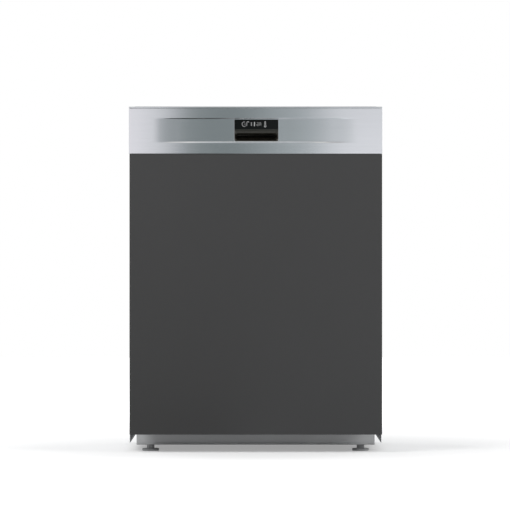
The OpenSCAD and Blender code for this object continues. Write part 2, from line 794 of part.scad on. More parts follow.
// Water duct up the back wall, with the upper rack's docking collar and the ceiling nozzle
module spray_duct() {
    z0 = tub_floor_h + lip_h;
    z1 = tub_top - touch_gap;
    outline = rounded([[duct_y0, z0], [duct_y1, z0], [duct_y1, z1], [tub_mid_y, z1],
                       [tub_mid_y, z1 - duct_t], [duct_y0, z1 - duct_t]],
                      [3, 3, 0, 0, 0, 20]);
    color("slategray") {
        slab_x(outline, -duct_w / 2, duct_w / 2);
        rod_z(pump_z - 2, z0 + 12, 0, duct_y0 + duct_t / 2, riser_r);
        rod_x(pump_outlet_x - riser_r - 2, riser_r - 1, duct_y0 + duct_t / 2, pump_z, riser_r + 1);
        rod_y(pump_y + 41, duct_y0 + duct_t / 2, pump_outlet_x, pump_z, riser_r);
        difference() {
            rod_y(duct_y0 - dock_l, duct_y0 + 1, 0, feed_z, dock_r);
            rod_y(duct_y0 - dock_l - 1, duct_y0 + 2, 0, feed_z, dock_r - 3);
        }
        difference() {
            rod_z(z1 - duct_t - 12, z1 - 2, 0, tub_mid_y, nozzle_r);
            for (a = [0 : 60 : 300])
                translate([0, tub_mid_y, 0]) rotate(a) rod_z(z1 - duct_t - 13, z1 - duct_t - 8, 14, 0, 1.5);
        }
    }
}

// Float and its switch in the base
module float_switch() {
    x = 190;
    y = sump_y - 46;
    z0 = rib_top + touch_gap;
    color("orange") {
        rod_z(z0, z0 + 24, x, y, 26);
        rod_z(z0 + 23, z0 + 52, x, y, 4);
        block([x - 16, y - 8, z0 + 51], [x + 16, y + 8, z0 + 70]);
    }
}

// ---- Hinges ----

pivot_z = pivot_h;
bracket_back_y = plinth_y + 70;
// Where the lower edge of the furniture panel comes to when the door lies open
panel_swing_y = pivot_y + pivot_z - panel_z;
bracket_top = base_top - 4;
lever_z = pivot_z + 41;
spring_x = bracket_x - 1.6;
spring_anchor_y = tub_mid_y + 40;
pin_stud_r = 2.5;

// Plates on the base that carry the hinge pins and the springs' anchors
module hinge_brackets() {
    eye = [for (a = [90 : 20 : 270]) [pivot_y, pivot_z] + hinge_eye_r * [cos(a), sin(a)]];
    outline = concat(eye, [
        [panel_swing_y + 1.5, pivot_z - hinge_eye_r], [plinth_y + 10, 40], [bracket_back_y, 40],
        [bracket_back_y + 20, bracket_top - 14], [spring_anchor_y + 16, bracket_top - 14],
        [spring_anchor_y + 16, lever_z + 8], [spring_anchor_y, lever_z + 8],
        [spring_anchor_y - 4, bracket_top], [tub_front_y - 12, bracket_top]]);
    color("silver") both_sides() {
        slab_x(outline, bracket_x, bracket_x + hinge_t);
        rod_x(bracket_x - hinge_gap - hinge_t + 0.4, bracket_x + eps, pivot_y, pivot_z, pin_r);
        rod_x(bracket_x - 4, bracket_x + eps, spring_anchor_y + 8, lever_z, pin_stud_r);
    }
}

coil_r = 4.4;
coil_wire_r = 1.1;
coil_turns = 16;
coil_l = 112;

// A wire wound along Y, as rings of points joined into one closed skin
module coil() {
    sides = 5;
    per_turn = 8;
    n = coil_turns * per_turn;
    points = [for (i = [0 : n], k = [0 : sides - 1])
        let (a = i * 360 / per_turn, b = k * 360 / sides, r = coil_r + coil_wire_r * cos(b))
        [r * cos(a), coil_l * i / n + coil_wire_r * sin(b), r * sin(a)]];
    skin = [for (i = [0 : n - 1], k = [0 : sides - 1])
        let (a = i * sides + k, b = i * sides + (k + 1) % sides)
        each [[a, a + sides, b], [b, a + sides, b + sides]]];
    polyhedron(points, concat([[for (k = [0 : sides - 1]) k]], skin,
                              [[for (k = [sides - 1 : -1 : 0]) n * sides + k]]));
}

// Tension springs with their ropes, from the studs on the door's arms to the anchors
module door_springs() {
    y1 = spring_anchor_y - 6;
    y0 = y1 - coil_l;
    rope_r = 0.8;
    hook = 2 * coil_wire_r + 0.1;
    color("silver") both_sides() {
        translate([spring_x, y0, lever_z]) coil();
        for (y = [y0 - hook, y1 + hook]) rod_x(spring_x, spring_x + coil_r, y, lever_z, coil_wire_r);
        rod_y(y1 + hook, spring_anchor_y + 8 - pin_stud_r - touch_gap, spring_x, lever_z, rope_r);
        rod_y(pivot_y + pin_stud_r + touch_gap, y0 - hook, spring_x, lever_z, rope_r);
    }
}

arm_plate_h = 150;
arm_plate_top = pivot_h + arm_plate_h;

// Arms on the door: an eye on the pin, a strap up inside the door and a stud for the spring's rope
module hinge_arms() {
    x0 = door_foot_w / 2;
    x1 = x0 + hinge_t;
    front = pivot_y - hinge_eye_r;
    back = pivot_y + hinge_eye_r;
    eye = [for (a = [180 : 20 : 360]) [pivot_y, pivot_z] + hinge_eye_r * [cos(a), sin(a)]];
    outline = concat(eye, [[back, arm_plate_top - 6], [back - 6, arm_plate_top], [front, arm_plate_top]]);
    color("gray") both_sides() {
        difference() {
            slab_x(outline, x0 + 0.1, x1);
            rod_x(x0 - 1, x1 + 1, pivot_y, pivot_z, pin_r + pin_clearance);
        }
        rod_x(x1 - eps, x1 + 3.5, pivot_y, lever_z, pin_stud_r);
    }
}

// ---- Door front ----

fascia_w = cabinet_w - 1;
fascia_t = 1;
channel_flat = channel_w / 2 - channel_fade;
fade_steps = 8;

// Depth of the channel at x: full over its middle, easing out to nothing at both ends
function channel_at(x) =
    let (t = max(0, (abs(x) - channel_flat) / channel_fade))
    t >= 1 ? 0 : channel_depth * (1 + cos(180 * t)) / 2;

// The channel as a solid to cut away, grown by the sheet's thickness for its back
module channel_cut(grow) {
    x1 = channel_w / 2 + grow;
    stations = concat([for (i = [0 : fade_steps]) -x1 + (x1 - channel_flat) * i / fade_steps],
                      [for (i = [0 : fade_steps]) channel_flat + (x1 - channel_flat) * i / fade_steps]);
    plan = concat([[x1, front_y - 1], [-x1, front_y - 1]],
                  [for (x = stations) [x, front_y + grow + channel_at(x)]]);
    slope = channel_draft / channel_depth;
    deep = channel_depth + grow + 1;
    low = channel_h / 2 + grow + slope;
    top = low - slope * (deep + 1);
    intersection() {
        slab_z(plan, fascia_z + 1, door_top - 1);
        slab_x([[front_y - 1, channel_z - low], [front_y + deep, channel_z - top],
                [front_y + deep, channel_z + top], [front_y - 1, channel_z + low]], -x1 - 1, x1 + 1);
    }
}

function window_outline(grow) =
    let (x = window_w / 2 + grow, z = window_h / 2 + grow, r0 = window_r + grow, r1 = 1.5 + grow)
    [for (p = rounded([[-x, -z], [x, -z], [x, z], [-x, z]], [r0, r0, r1, r1])) p + [0, channel_z]];

// Steel fascia: folded long edges, closed ends, the pressed channel and the window
module fascia() {
    x1 = fascia_w / 2;
    t = fascia_t;
    r = fascia_edge_r;
    outer = rounded([[front_y, fascia_z], [skin_y, fascia_z], [skin_y, door_top], [front_y, door_top]],
                    [r, 0, 0, r]);
    inner = rounded([[front_y + t, fascia_z + t], [skin_y + 1, fascia_z + t],
                     [skin_y + 1, door_top - t], [front_y + t, door_top - t]], [r - t / 2, 0, 0, r - t / 2]);
    color("silver") difference() {
        slab_x(outer, -x1, x1);
        difference() {
            slab_x(inner, -x1 + t, x1 - t);
            channel_cut(t);
        }
        channel_cut(0);
        slab_y(window_outline(0), front_y, skin_y);
    }
}

// Furniture panel with small chamfered edges
module furniture_panel() {
    y0 = front_y + panel_set_back;
    outer = [for (p = rect(panel_w, panel_h, 1.2, 2)) p + [0, panel_z + panel_h / 2]];
    color("dimgray") slab_y(outer, y0, skin_y - touch_gap);
}

window_y = front_y + channel_depth;
glass_bottom = channel_z + window_h / 2 - glass_h;

// Black moulding behind the window: a frame for the glass and the finger recess under it
module grip_moulding() {
    y1 = front_y + grip_depth;
    color("black") difference() {
        slab_y(window_outline(3), window_y + fascia_t + eps, y1);
        slab_y([for (p = window_outline(-0.2)) [p.x, min(p.y, glass_bottom + 0.5)]],
               window_y, y1 - grip_wall);
        block([-window_w / 2 + 1, window_y, glass_bottom + grip_wall],
              [window_w / 2 - 1, window_y + fascia_t + 8, channel_z + window_h / 2 - 1]);
    }
}

// Glass over the display
module display_glass() {
    w = window_w - 0.5;
    h = glass_h - 0.25;
    color("black")
        slab_y([for (p = rect(w, h, 1.5)) p + [0, glass_bottom + h / 2]],
               window_y + 0.1, window_y + fascia_t - eps);
}

// ---- Door box ----

function door_outline(inset, top) =
    let (x1 = door_w / 2 - inset, x0 = door_foot_w / 2 - inset,
         z0 = door_foot_z + inset, zs = door_foot_top + inset)
    [[-x0, z0], [x0, z0], [x0, zs], [x1, zs], [x1, top], [-x1, top], [-x1, zs], [-x0, zs]];

door_mid_y = (skin_y + liner_y) / 2;

module arm_slots() {
    both_sides()
        block([door_foot_w / 2 - 0.2, pivot_y - hinge_eye_r - 0.6, door_foot_top - 1],
              [door_foot_w / 2 + hinge_t + 0.6, pivot_y + hinge_eye_r + 0.6, door_foot_top + sheet + 1]);
}

// Outer half of the door box
module door_skin() {
    top = fascia_z - 0.5;
    color("gainsboro") difference() {
        slab_y(door_outline(0, top), skin_y, door_mid_y - touch_gap / 2);
        slab_y(door_outline(sheet, top - sheet), skin_y + sheet, door_mid_y + 1);
        arm_slots();
    }
}

liner_press_x = rack_w / 2 - 4;
liner_press_z0 = pivot_z + 82;
liner_press_z1 = door_top - 70;
track_z0 = pivot_z + 92;
track_l = 420;
track_w = 12;
track_face = tub_floor_h + lip_h - pivot_z - (liner_y - pivot_y);

// Inner half of the door box: a raised centre and a track for the lower rack along each side
module door_liner() {
    w = 2 * liner_press_x;
    h = liner_press_z1 - liner_press_z0;
    mid = [0, (liner_press_z0 + liner_press_z1) / 2];
    raised = rect(w, h, 24);
    hollow = rect(w - 2 * sheet, h - 2 * sheet, 23);
    color("gainsboro") difference() {
        union() {
            slab_y(door_outline(0, door_top - 0.5), door_mid_y + touch_gap / 2, liner_y);
            slab_y([for (p = raised) p + mid], liner_y - sheet, liner_y + door_press);
            both_sides()
                block([rack_w / 2 + 1, liner_y - eps, track_z0],
                      [rack_w / 2 + 1 + track_w, liner_y + track_face, track_z0 + track_l]);
        }
        slab_y(door_outline(sheet, door_top), door_mid_y - 1, liner_y - sheet);
        slab_y([for (p = hollow) p + mid], liner_y - sheet - 1, liner_y + door_press - sheet);
        both_sides()
            block([rack_w / 2 + 1 + sheet, liner_y - sheet - 1, track_z0 + sheet],
                  [rack_w / 2 + 1 + track_w - sheet, liner_y + track_face - sheet,
                   track_z0 + track_l - sheet]);
        dispenser_place(0.4, liner_y - 3, liner_y + door_press + 1);
        latch_slot(liner_y - 2, liner_y + 1);
        arm_slots();
    }
}

housing_x = door_w / 2 - sheet - 1;
housing_y0 = skin_y + touch_gap;
housing_y1 = liner_y - sheet - touch_gap;
housing_z0 = fascia_z + 2;
housing_t = 2;
key_y = (skin_y + liner_y) / 2 - 3;

module key_holes(grow) {
    for (i = [0 : 3])
        slab_z([for (p = rect(key_l + 2 * grow, key_d + 2 * grow, 2)) p + [key_start + i * key_pitch, key_y]],
               door_top - housing_t - 2, door_top + 1);
}

// Control housing in the top of the door: open to the fascia, with holes for the keys
module control_housing() {
    ends = housing_x;
    color("dimgray") difference() {
        block([-ends, housing_y0, housing_z0], [ends, housing_y1, door_top]);
        block([-ends + housing_t, housing_y0 - 1, housing_z0 + housing_t],
              [ends - housing_t, housing_y1 - housing_t, door_top - housing_t]);
        key_holes(key_gap);
        block([-latch_x - touch_gap, latch_y0 - touch_gap, latch_z0 - touch_gap],
              [latch_x + touch_gap, housing_y1 + 1, door_top - housing_t + eps]);
    }
}

board_z1 = door_top - 22;

// Circuit board with its switch bar under the keys
module control_board() {
    y0 = housing_y1 - housing_t - 8;
    bar = [key_start - 18, key_start + 3 * key_pitch + 18];
    color("darkgreen") {
        block([-190, y0, housing_z0 + 10], [bar[1], y0 + 1.6, latch_z0 - 4]);
        block([bar[0], y0, latch_z0 - 5], [bar[1], y0 + 1.6, board_z1]);
        block([bar[0], key_y - 6, board_z1 - 8], [bar[1], y0 + eps, board_z1]);
        block([-180, y0 - 14, housing_z0 + 16], [-150, y0 + eps, housing_z0 + 46]);
        block([-136, y0 - 12, housing_z0 + 20], [-112, y0 + eps, housing_z0 + 40]);
        block([-100, y0 - 3, housing_z0 + 30], [-78, y0 + eps, housing_z0 + 52]);
        rod_y(y0 - 14, y0 + eps, 100, housing_z0 + 40, 8);
        rod_y(y0 - 14, y0 + eps, 122, housing_z0 + 40, 8);
        block([150, y0 - 9, housing_z0 + 24], [196, y0 + eps, housing_z0 + 50]);
        for (i = [0 : 3])
            rod_z(board_z1 - 1, board_z1 + 1.5, key_start + i * key_pitch, key_y, 3);
    }
}

key_rise = key_travel + 0.3;

// One key: a rounded cap, a collar under the housing's top and a stem to the switch
module key(i) {
    x = key_start + i * key_pitch;
    stem_r = 2.5;
    collar = 2;
    collar_top = door_top - housing_t - touch_gap;
    color("silver") {
        slab_z([for (p = rect(key_l, key_d, 2)) p + [x, key_y]], collar_top - collar, door_top + key_rise);
        slab_z([for (p = rect(key_l + 4, key_d + 3, 2)) p + [x, key_y]], collar_top - collar, collar_top);
        rod_z(board_z1 + 1.5 + key_rise, collar_top - collar + eps, x, key_y, stem_r);
    }
}
module power_key() { key(0); }
module program_key() { key(1); }
module option_key() { key(2); }
module start_key() { key(3); }

latch_x = 26;
latch_y0 = liner_y - 26;
latch_z0 = door_top - 48;
strike_play = 2.5;

module latch_slot(y0, y1) {
    block([-strike_w / 2 - strike_play, y0, strike_z - strike_play],
          [strike_w / 2 + strike_play, y1, strike_z + strike_t + strike_play]);
}

// Latch behind the door's inner face, with the slot that takes the strike
module door_latch() {
    jaw_z = strike_z + strike_t / 2;
    color("black") difference() {
        union() {
            block([-latch_x, latch_y0, latch_z0], [latch_x, housing_y1, door_top - housing_t - touch_gap]);
            rod_y(latch_y0 - 5, latch_y0 + 1, 0, latch_z0 + 16, 10);
        }
        latch_slot(latch_y0 + 9, housing_y1 + 1);
        for (s = [-1, 1]) rod_y(housing_y1 - 3, housing_y1 + 1, s * (latch_x - 5), jaw_z - 20, 1.8);
    }
}

dispenser_x = 20;
dispenser_w = 176;
dispenser_z = 460;
dispenser_h = 116;
dispenser_face = liner_y + door_press + 4;
cup_x = -22;
cup_z = dispenser_z - 20;
cup_w = 84;
cup_h = 66;
cup_depth = 30;
rinse_x = 82;
rinse_z = dispenser_z + 38;

module dispenser_place(grow, y0, y1) {
    outline = rect(dispenser_w - 8 + 2 * grow, dispenser_h - 8 + 2 * grow, 8);
    slab_y([for (p = outline) p + [dispenser_x, dispenser_z]], y0, y1);
}

// Detergent and rinse aid dispenser, set into the door's inner face
module dispenser() {
    lid_z0 = cup_z - cup_h / 2 - 4;
    lid_z1 = cup_z + cup_h / 2 + 4;
    color("dimgray") difference() {
        union() {
            dispenser_place(0, dispenser_face - cup_depth - 8, dispenser_face);
            slab_y([for (p = rect(dispenser_w, dispenser_h, 10)) p + [dispenser_x, dispenser_z]],
                   liner_y + door_press + touch_gap, dispenser_face);
            for (z = [lid_z0 - 3, lid_z1 + 0.4])
                block([dispenser_x - dispenser_w / 2 + 5, dispenser_face - eps, z],
                      [dispenser_x + dispenser_w / 2 - 5, dispenser_face + 5, z + 2.6]);
        }
        slab_y([for (p = rect(cup_w, cup_h, 8)) p + [cup_x, cup_z]],
               dispenser_face - cup_depth, dispenser_face + 1);
        rod_y(dispenser_face - 12, dispenser_face + 1, rinse_x, rinse_z, 11);
    }
}

// Lid that slides off the detergent cup
module dispenser_lid() {
    y0 = dispenser_face + touch_gap;
    color("gray") {
        slab_y([for (p = rect(cup_w + 8, cup_h + 7, 4)) p + [cup_x, cup_z]], y0, y0 + 3.4);
        slab_y([for (p = rect(16, cup_h - 20, 4)) p + [cup_x - cup_w / 2 + 14, cup_z]], y0 + 3, y0 + 6);
    }
}

// Cap of the rinse aid tank
module rinse_aid_cap() {
    y0 = dispenser_face + touch_gap;
    color("lightgray") {
        rod_y(dispenser_face - 11, y0 + eps, rinse_x, rinse_z, 10.6);
        rod_y(y0, y0 + 4, rinse_x, rinse_z, 17);
        slab_y([for (p = rect(28, 7, 3)) p + [rinse_x, rinse_z]], y0 + 3, y0 + 9);
    }
}

// ---- Racks ----

rack_x = rack_w / 2;
rack_y0 = liner_y + rack_gap;
rack_y1 = rack_y0 + rack_d;
rack_mid_y = (rack_y0 + rack_y1) / 2;
wire_r = wire_d / 2;
rim_r = rim_d / 2;
layer = wire_d - 0.2;
rim_bend = 22;
level_wires = [0.3, 0.62];
clip_r = 5;
cut = 0.15;

// Wires of a rack's floor: one layer front to back, the other across it
module floor_grid(z) {
    x = rack_x - rim_r;
    l = rack_d - 2 * rim_r;
    edge = 9;
    for (i = [0 : wires_across - 1])
        rod_y(rack_mid_y - l / 2, rack_mid_y + l / 2,
              edge - x + (2 * x - 2 * edge) * i / (wires_across - 1), z, wire_r);
    for (i = [0 : wires_along - 1])
        rod_x(-x, x, rack_mid_y + edge - l / 2 + (l - 2 * edge) * i / (wires_along - 1), z + layer, wire_r);
}

// Upright wires of one wall with its two level wires and its rim, drawn along X and standing at Y = 0
module wall_grid(l, z0, h, uprights) {
    inner = l - 2 * rim_bend;
    for (i = [0 : uprights - 1])
        rod_z(z0, z0 + h - 1, -inner / 2 + 4 + (inner - 8) * i / (uprights - 1), 0, wire_r);
    for (t = level_wires)
        rod_x(-inner / 2 + cut, inner / 2 - cut, layer, z0 + h * t, wire_r);
    rod_x(-inner / 2 + cut, inner / 2 - cut, 0, z0 + h, rim_r);
}

// Rounded corner of the rim, with an upright at its middle
module rim_corner(z0, h) {
    r = rim_bend;
    rotate([0, 0, cut]) translate([0, 0, z0 + h])
        rotate_extrude(angle = 90 - 2 * cut) translate([r, 0]) circle(rim_r, $fn = 16);
    rotate(45) rod_z(z0, z0 + h - 1, r, 0, wire_r);
}

// The walls of a rack round the outline x0..x1, y0..y1
module rack_walls(x0, x1, y0, y1, z0, h) {
    w = x1 - x0;
    d = y1 - y0;
    mx = (x0 + x1) / 2;
    my = (y0 + y1) / 2;
    in = rim_r;
    ux = round((w - 2 * rim_bend) / 38);
    uy = round((d - 2 * rim_bend) / 40);
    translate([mx, y0 + in, 0]) wall_grid(w - 2 * in, z0, h, ux);
    translate([mx, y1 - in, 0]) mirror([0, 1, 0]) wall_grid(w - 2 * in, z0, h, ux);
    translate([x0 + in, my, 0]) rotate(-90) wall_grid(d - 2 * in, z0, h, uy);
    translate([x1 - in, my, 0]) rotate(90) wall_grid(d - 2 * in, z0, h, uy);
    for (sx = [0, 1], sy = [0, 1])
        translate([sx == 0 ? x0 + in + rim_bend : x1 - in - rim_bend,
                   sy == 0 ? y0 + in + rim_bend : y1 - in - rim_bend, 0])
            rotate(sx == 0 ? (sy == 0 ? 180 : 90) : (sy == 0 ? 270 : 0)) rim_corner(z0, h);
}

// A row of tines on a base wire that runs front to back at Y = 0, standing up from Z = 0
module tine_row(count) {
    l = (count - 1) * tine_pitch;
    rod_y(-l / 2 - 10, l / 2 + 10, 0, 0, wire_r);
    for (i = [0 : count - 1])
        rod_z(0, tine_h, 0, -l / 2 + i * tine_pitch, wire_r - 0.2);
}

lower_layer_z = lower_rack_z + 2 * layer;
tine_z = lower_layer_z + touch_gap + 0.2;
tine_y = rack_mid_y;
wheel_r = wheel_d / 2;
wheel_x = rack_x + 2.5;
wheel_z = tub_floor_h + lip_h + touch_gap + wheel_r;
front_wheel_y = rack_y0 + 90;
rear_wheel_y = rack_y1 - 60;
fixed_rows = [30 - rack_x, 115 - rack_x];
fold_rows = [215 - rack_x, 310 - rack_x];

// Lower rack: floor, walls, carrying plates for the wheels and the fixed tine rows
module lower_basket() {
    z0 = lower_rack_z + layer + wire_r + touch_gap;
    color("gray") {
        floor_grid(lower_rack_z);
        rack_walls(-rack_x, rack_x, rack_y0, rack_y1, z0, lower_rack_h);
        for (x = fixed_rows) translate([x, tine_y, tine_z]) tine_row(tine_count);
        for (x = fold_rows, s = [-1, 1])
            translate([x, tine_y + s * (tine_l / 2 + 5), 0]) tine_clip();
        both_sides() for (y = [front_wheel_y, rear_wheel_y]) wheel_bracket(y);
    }
}
tine_l = (tine_count - 1) * tine_pitch + 20;

// Saddle that carries one end of a folding row
module tine_clip() {
    difference() {
        block([-5, -4, lower_layer_z + 0.2], [5, 4, tine_z + 6]);
        rod_y(-5, 5, 0, tine_z, wire_r + pin_clearance);
    }
}

plate_x = rack_x - rim_r + wire_r + touch_gap;
plate_h = 84;

// Plate outside the rack's wall with the axle of one wheel
module wheel_bracket(y) {
    difference() {
        union() {
            slab_x([for (p = rect(46, plate_h, 8)) p + [y, wheel_z - 12 + plate_h / 2]],
                   plate_x, wheel_x - touch_gap);
            rod_x(plate_x + 1, wheel_x + wheel_w + 1.8, y, wheel_z, axle_r);
            rod_x(wheel_x + wheel_w + 0.4, wheel_x + wheel_w + 2, y, wheel_z, axle_r + 2);
        }
        for (s = [-1, 1])
            slab_x([for (p = rect(9, plate_h - 44, 3)) p + [y + 13 * s, wheel_z + 8 + plate_h / 2]],
                   plate_x - 1, wheel_x + 1);
    }
}

// A pair of wheels on one axis
module wheels(y) {
    bore = axle_r + pin_clearance;
    color("dimgray") both_sides() difference() {
        translate([wheel_x, y, wheel_z]) rotate([0, 90, 0]) rotate_extrude() polygon(rounded(
            [[bore, 0], [wheel_r, 0], [wheel_r, wheel_w], [bore, wheel_w]], [0, 1, 1, 0], 3));
        for (a = [30 : 60 : 330])
            translate([0, y, wheel_z]) rotate([a, 0, 0])
                rod_x(wheel_x - 1, wheel_x + wheel_w + 1, 0, wheel_r * 0.58, 3);
    }
}
module front_wheels() { wheels(front_wheel_y); }
module rear_wheels() { wheels(rear_wheel_y); }

// A folding row turns in its clips at both ends
module fold_row(x) {
    color("silver") translate([x, tine_y, tine_z]) {
        rod_y(-tine_l / 2 - 8.5, tine_l / 2 + 8.5, 0, 0, wire_r);
        for (i = [0 : tine_count - 1])
            rod_z(0, tine_h, 0, (i - (tine_count - 1) / 2) * tine_pitch, wire_r - 0.2);
    }
}
module fold_tines_left() { fold_row(fold_rows[0]); }
module fold_tines_right() { fold_row(fold_rows[1]); }

cutlery_t = 2;
cutlery_x = rack_x - cutlery_w / 2 - 11;
cutlery_y = rack_y0 + 40 + cutlery_l / 2;
cutlery_z = lower_rack_z + layer + wire_r + touch_gap;

// Cutlery basket: barred floor, slotted walls, rounded corners, dividers and a handle, each a plate of
// its own that stands a hair from the next
module cutlery_basket() {
    x1 = cutlery_w / 2;
    y1 = cutlery_l / 2;
    t = cutlery_t;
    h = cutlery_h;
    r = 10;
    floor_t = 3;
    z0 = floor_t + hair;
    inner_y = y1 - t - hair;
    bay = cutlery_l / 6;
    slot = rect(11, h - 34, 5);
    color("slategray") translate([cutlery_x, cutlery_y, cutlery_z]) {
        difference() {
            slab_z(rect(cutlery_w, cutlery_l, r), 0, floor_t);
            for (x = [-2 : 2], y = [-7 : 7])
                if (x != 0) slab_z([for (p = rect(9, 8, 2, 2)) p + [x * 14, y * 13.4]], -1, floor_t + 1);
        }
        for (sx = [0, 1], sy = [0, 1]) mirror([sx, 0, 0]) mirror([0, sy, 0]) basket_corner(x1, y1, r, z0, h);
        both_sides() {
            difference() {
                block([x1 - t, r + hair - y1, z0], [x1, y1 - r - hair, h]);
                for (i = [-5 : 5])
                    slab_x([for (p = slot) p + [i * 17.5, h / 2 + 2]], x1 - t - 1, x1 + 1);
            }
        }
        for (s = [0, 1]) mirror([0, s, 0]) {
            difference() {
                block([r + hair - x1, -y1, z0], [x1 - r - hair, t - y1, h]);
                for (i = [-1.5 : 1.5])
                    slab_y([for (p = slot) p + [i * 13.5, h / 2 + 2]], -y1 - 1, t - y1 + 1);
            }
            block([t + hair - x1, -bay - 1, z0], [x1 - t - hair, 1 - bay, h - 8]);
            block([-1, -inner_y, z0], [1, -bay - 1 - hair, h - 26]);
            block([-2, -26, h - 30 + hair], [2, -18, h + 20]);
        }
        block([-1, hair - bay + 1, z0], [1, bay - 1 - hair, h - 30]);
        slab_x(rounded([[-26, h + 20 + hair], [26, h + 20 + hair], [26, h + 34], [-26, h + 34]],
                       [0, 0, 12, 12]), -2, 2);
    }
}
hair = 0.1;

// Quarter round between two walls of the cutlery basket
module basket_corner(x1, y1, r, z0, z1) {
    arc = [for (i = [0 : 6]) [cos(i * 15), sin(i * 15)]];
    inner = [for (i = [6 : -1 : 0]) (r - cutlery_t) * arc[i]];
    slab_z([for (p = concat(r * arc, inner)) p + [x1 - r, y1 - r]], z0, z1);
}

upper_layer_z = upper_rack_z + 2 * layer;
rail_t = 1.5;
rail_z = upper_rack_z + 42;
rail_h = 24;
tub_rail_h = 32;
rail_bolt_head = 0.3;
rail_seat = 0.05;
roller_r = rail_h / 2 - rail_t - touch_gap;
rail_y0 = tub_front_y + 10;
rail_y1 = duct_y0 - 12;
wall_z = layer + wire_r + touch_gap;
cup_hinge_z = upper_rack_z + wall_z + level_wires[1] * upper_rack_h + wire_r + clip_r + touch_gap;
cup_hinge_x = rack_x - 14;

// Upper rack: floor, walls, rails' rollers and the shelves' hinge clips
module upper_basket() {
    z0 = upper_rack_z + layer + wire_r + touch_gap;
    color("gray") {
        floor_grid(upper_rack_z);
        rack_walls(-rack_x, rack_x, rack_y0, rack_y1, z0, upper_rack_h);
        for (x = [85 - rack_x, -60, 60, rack_x - 85])
            translate([x, rack_mid_y, upper_layer_z + touch_gap + 0.2]) low_row();
        both_sides() {
            for (y = [rack_y0 + 60, rack_y1 - 40]) basket_roller(y);
            for (s = [-1, 1]) translate([cup_hinge_x, rack_mid_y + s * (cup_l / 2 + 3.2), 0]) cup_clip();
        }
    }
}
cup_l = 236;

// Low tines that keep cups apart
module low_row() {
    rod_y(-150, 150, 0, 0, wire_r);
    for (i = [-4 : 4]) rod_z(0, 34, 0, i * 32, wire_r - 0.2);
}

// Plate with a roller that runs in the middle rail
module basket_roller(y) {
    slab_x([for (p = rect(50, 34, 6)) p + [y, rail_z]], plate_x, plate_x + 2);
    rod_x(plate_x + 1, rack_x + 4, y, rail_z, 5);
    rod_x(rack_x + 3.9, rack_x + 12, y, rail_z, roller_r);
}

module cup_clip() {
    difference() {
        block([-5, -3, cup_hinge_z - clip_r],
              [rack_x - rim_r - wire_r - touch_gap - cup_hinge_x, 3, cup_hinge_z + clip_r]);
        rod_y(-4, 4, 0, cup_hinge_z, wire_r + pin_clearance);
    }
}

// Wire shelf for cups: a hinge wire along the rack's side, arms and two level wires
module cup_shelf() {
    reach = 96;
    color("silver") {
        rod_y(rack_mid_y - cup_l / 2 - 6, rack_mid_y + cup_l / 2 + 6, cup_hinge_x, cup_hinge_z, wire_r);
        for (i = [0 : 6])
            rod_x(cup_hinge_x - reach, cup_hinge_x, rack_mid_y + (i - 3) * (cup_l - 16) / 6,
                  cup_hinge_z, wire_r - 0.2);
        for (t = [0.45, 1])
            rod_y(rack_mid_y - cup_l / 2 + 4, rack_mid_y + cup_l / 2 - 4,
                  cup_hinge_x - reach * t + 1, cup_hinge_z + layer - 0.1, wire_r);
    }
}
module cup_shelf_right() { cup_shelf(); }
module cup_shelf_left() { mirror([1, 0, 0]) cup_shelf(); }

// Rail sections seen along Y: a C that opens towards the rack
module rail_section(x0, x1, y0, y1, h, t) {
    slab_y([[x0, rail_z - h / 2], [x1, rail_z - h / 2], [x1, rail_z + h / 2], [x0, rail_z + h / 2],
            [x0, rail_z + h / 2 - t], [x1 - t, rail_z + h / 2 - t], [x1 - t, rail_z - h / 2 + t],
            [x0, rail_z - h / 2 + t]], y0, y1);
}

// Outer rails, fixed to the tub's sides
module tub_rails() {
    color("silver") both_sides() {
        rail_section(tub_x - 9, tub_x - touch_gap, rail_y0, rail_y1, tub_rail_h, rail_t);
        for (y = [rail_y0 + 30, rail_y1 - 30])
            rod_x(tub_x - touch_gap - rail_t - rail_bolt_head, tub_x - rail_seat, y, rail_z, 4);
    }
}

// Middle rails, which travel half as far as the rack
module middle_rails() {
    color("silver") both_sides() {
        rail_section(rack_x + 4.6, rack_x + 14, rail_y0 + 2, rail_y1 - 4, rail_h, rail_t);
        for (y = [rail_y1 - 14, rail_y1 - 90])
            rod_x(rack_x + 13.9, tub_x - 2.4, y, rail_z, tub_rail_h / 2 - rail_t - touch_gap);
    }
}

upper_arm_z = feed_z - 26;

// Flat tube under the upper rack, from its docking end to the upper arm's axle
module feed_tube() {
    color("slategray") difference() {
        union() {
            block([-16, tub_mid_y - 14, feed_z - 8], [16, duct_y0 - dock_l - 24, feed_z + 8]);
            rod_y(duct_y0 - dock_l - 25, duct_y0 - dock_l - touch_gap, 0, feed_z, dock_r - 2);
            for (y = [tub_mid_y + 8, duct_y0 - dock_l - 40])
                rod_z(feed_z, upper_rack_z - wire_r - touch_gap, 0, y, 6);
            rod_z(upper_arm_z + arm_t + 0.5, feed_z, 0, tub_mid_y, pedestal_r);
            rod_z(upper_arm_z - arm_t / 2 + hub_cap + touch_gap, feed_z, 0, tub_mid_y, arm_axle_r);
        }
        rod_y(duct_y0 - dock_l - 20, duct_y0 - dock_l, 0, feed_z, dock_r - 5);
    }
}

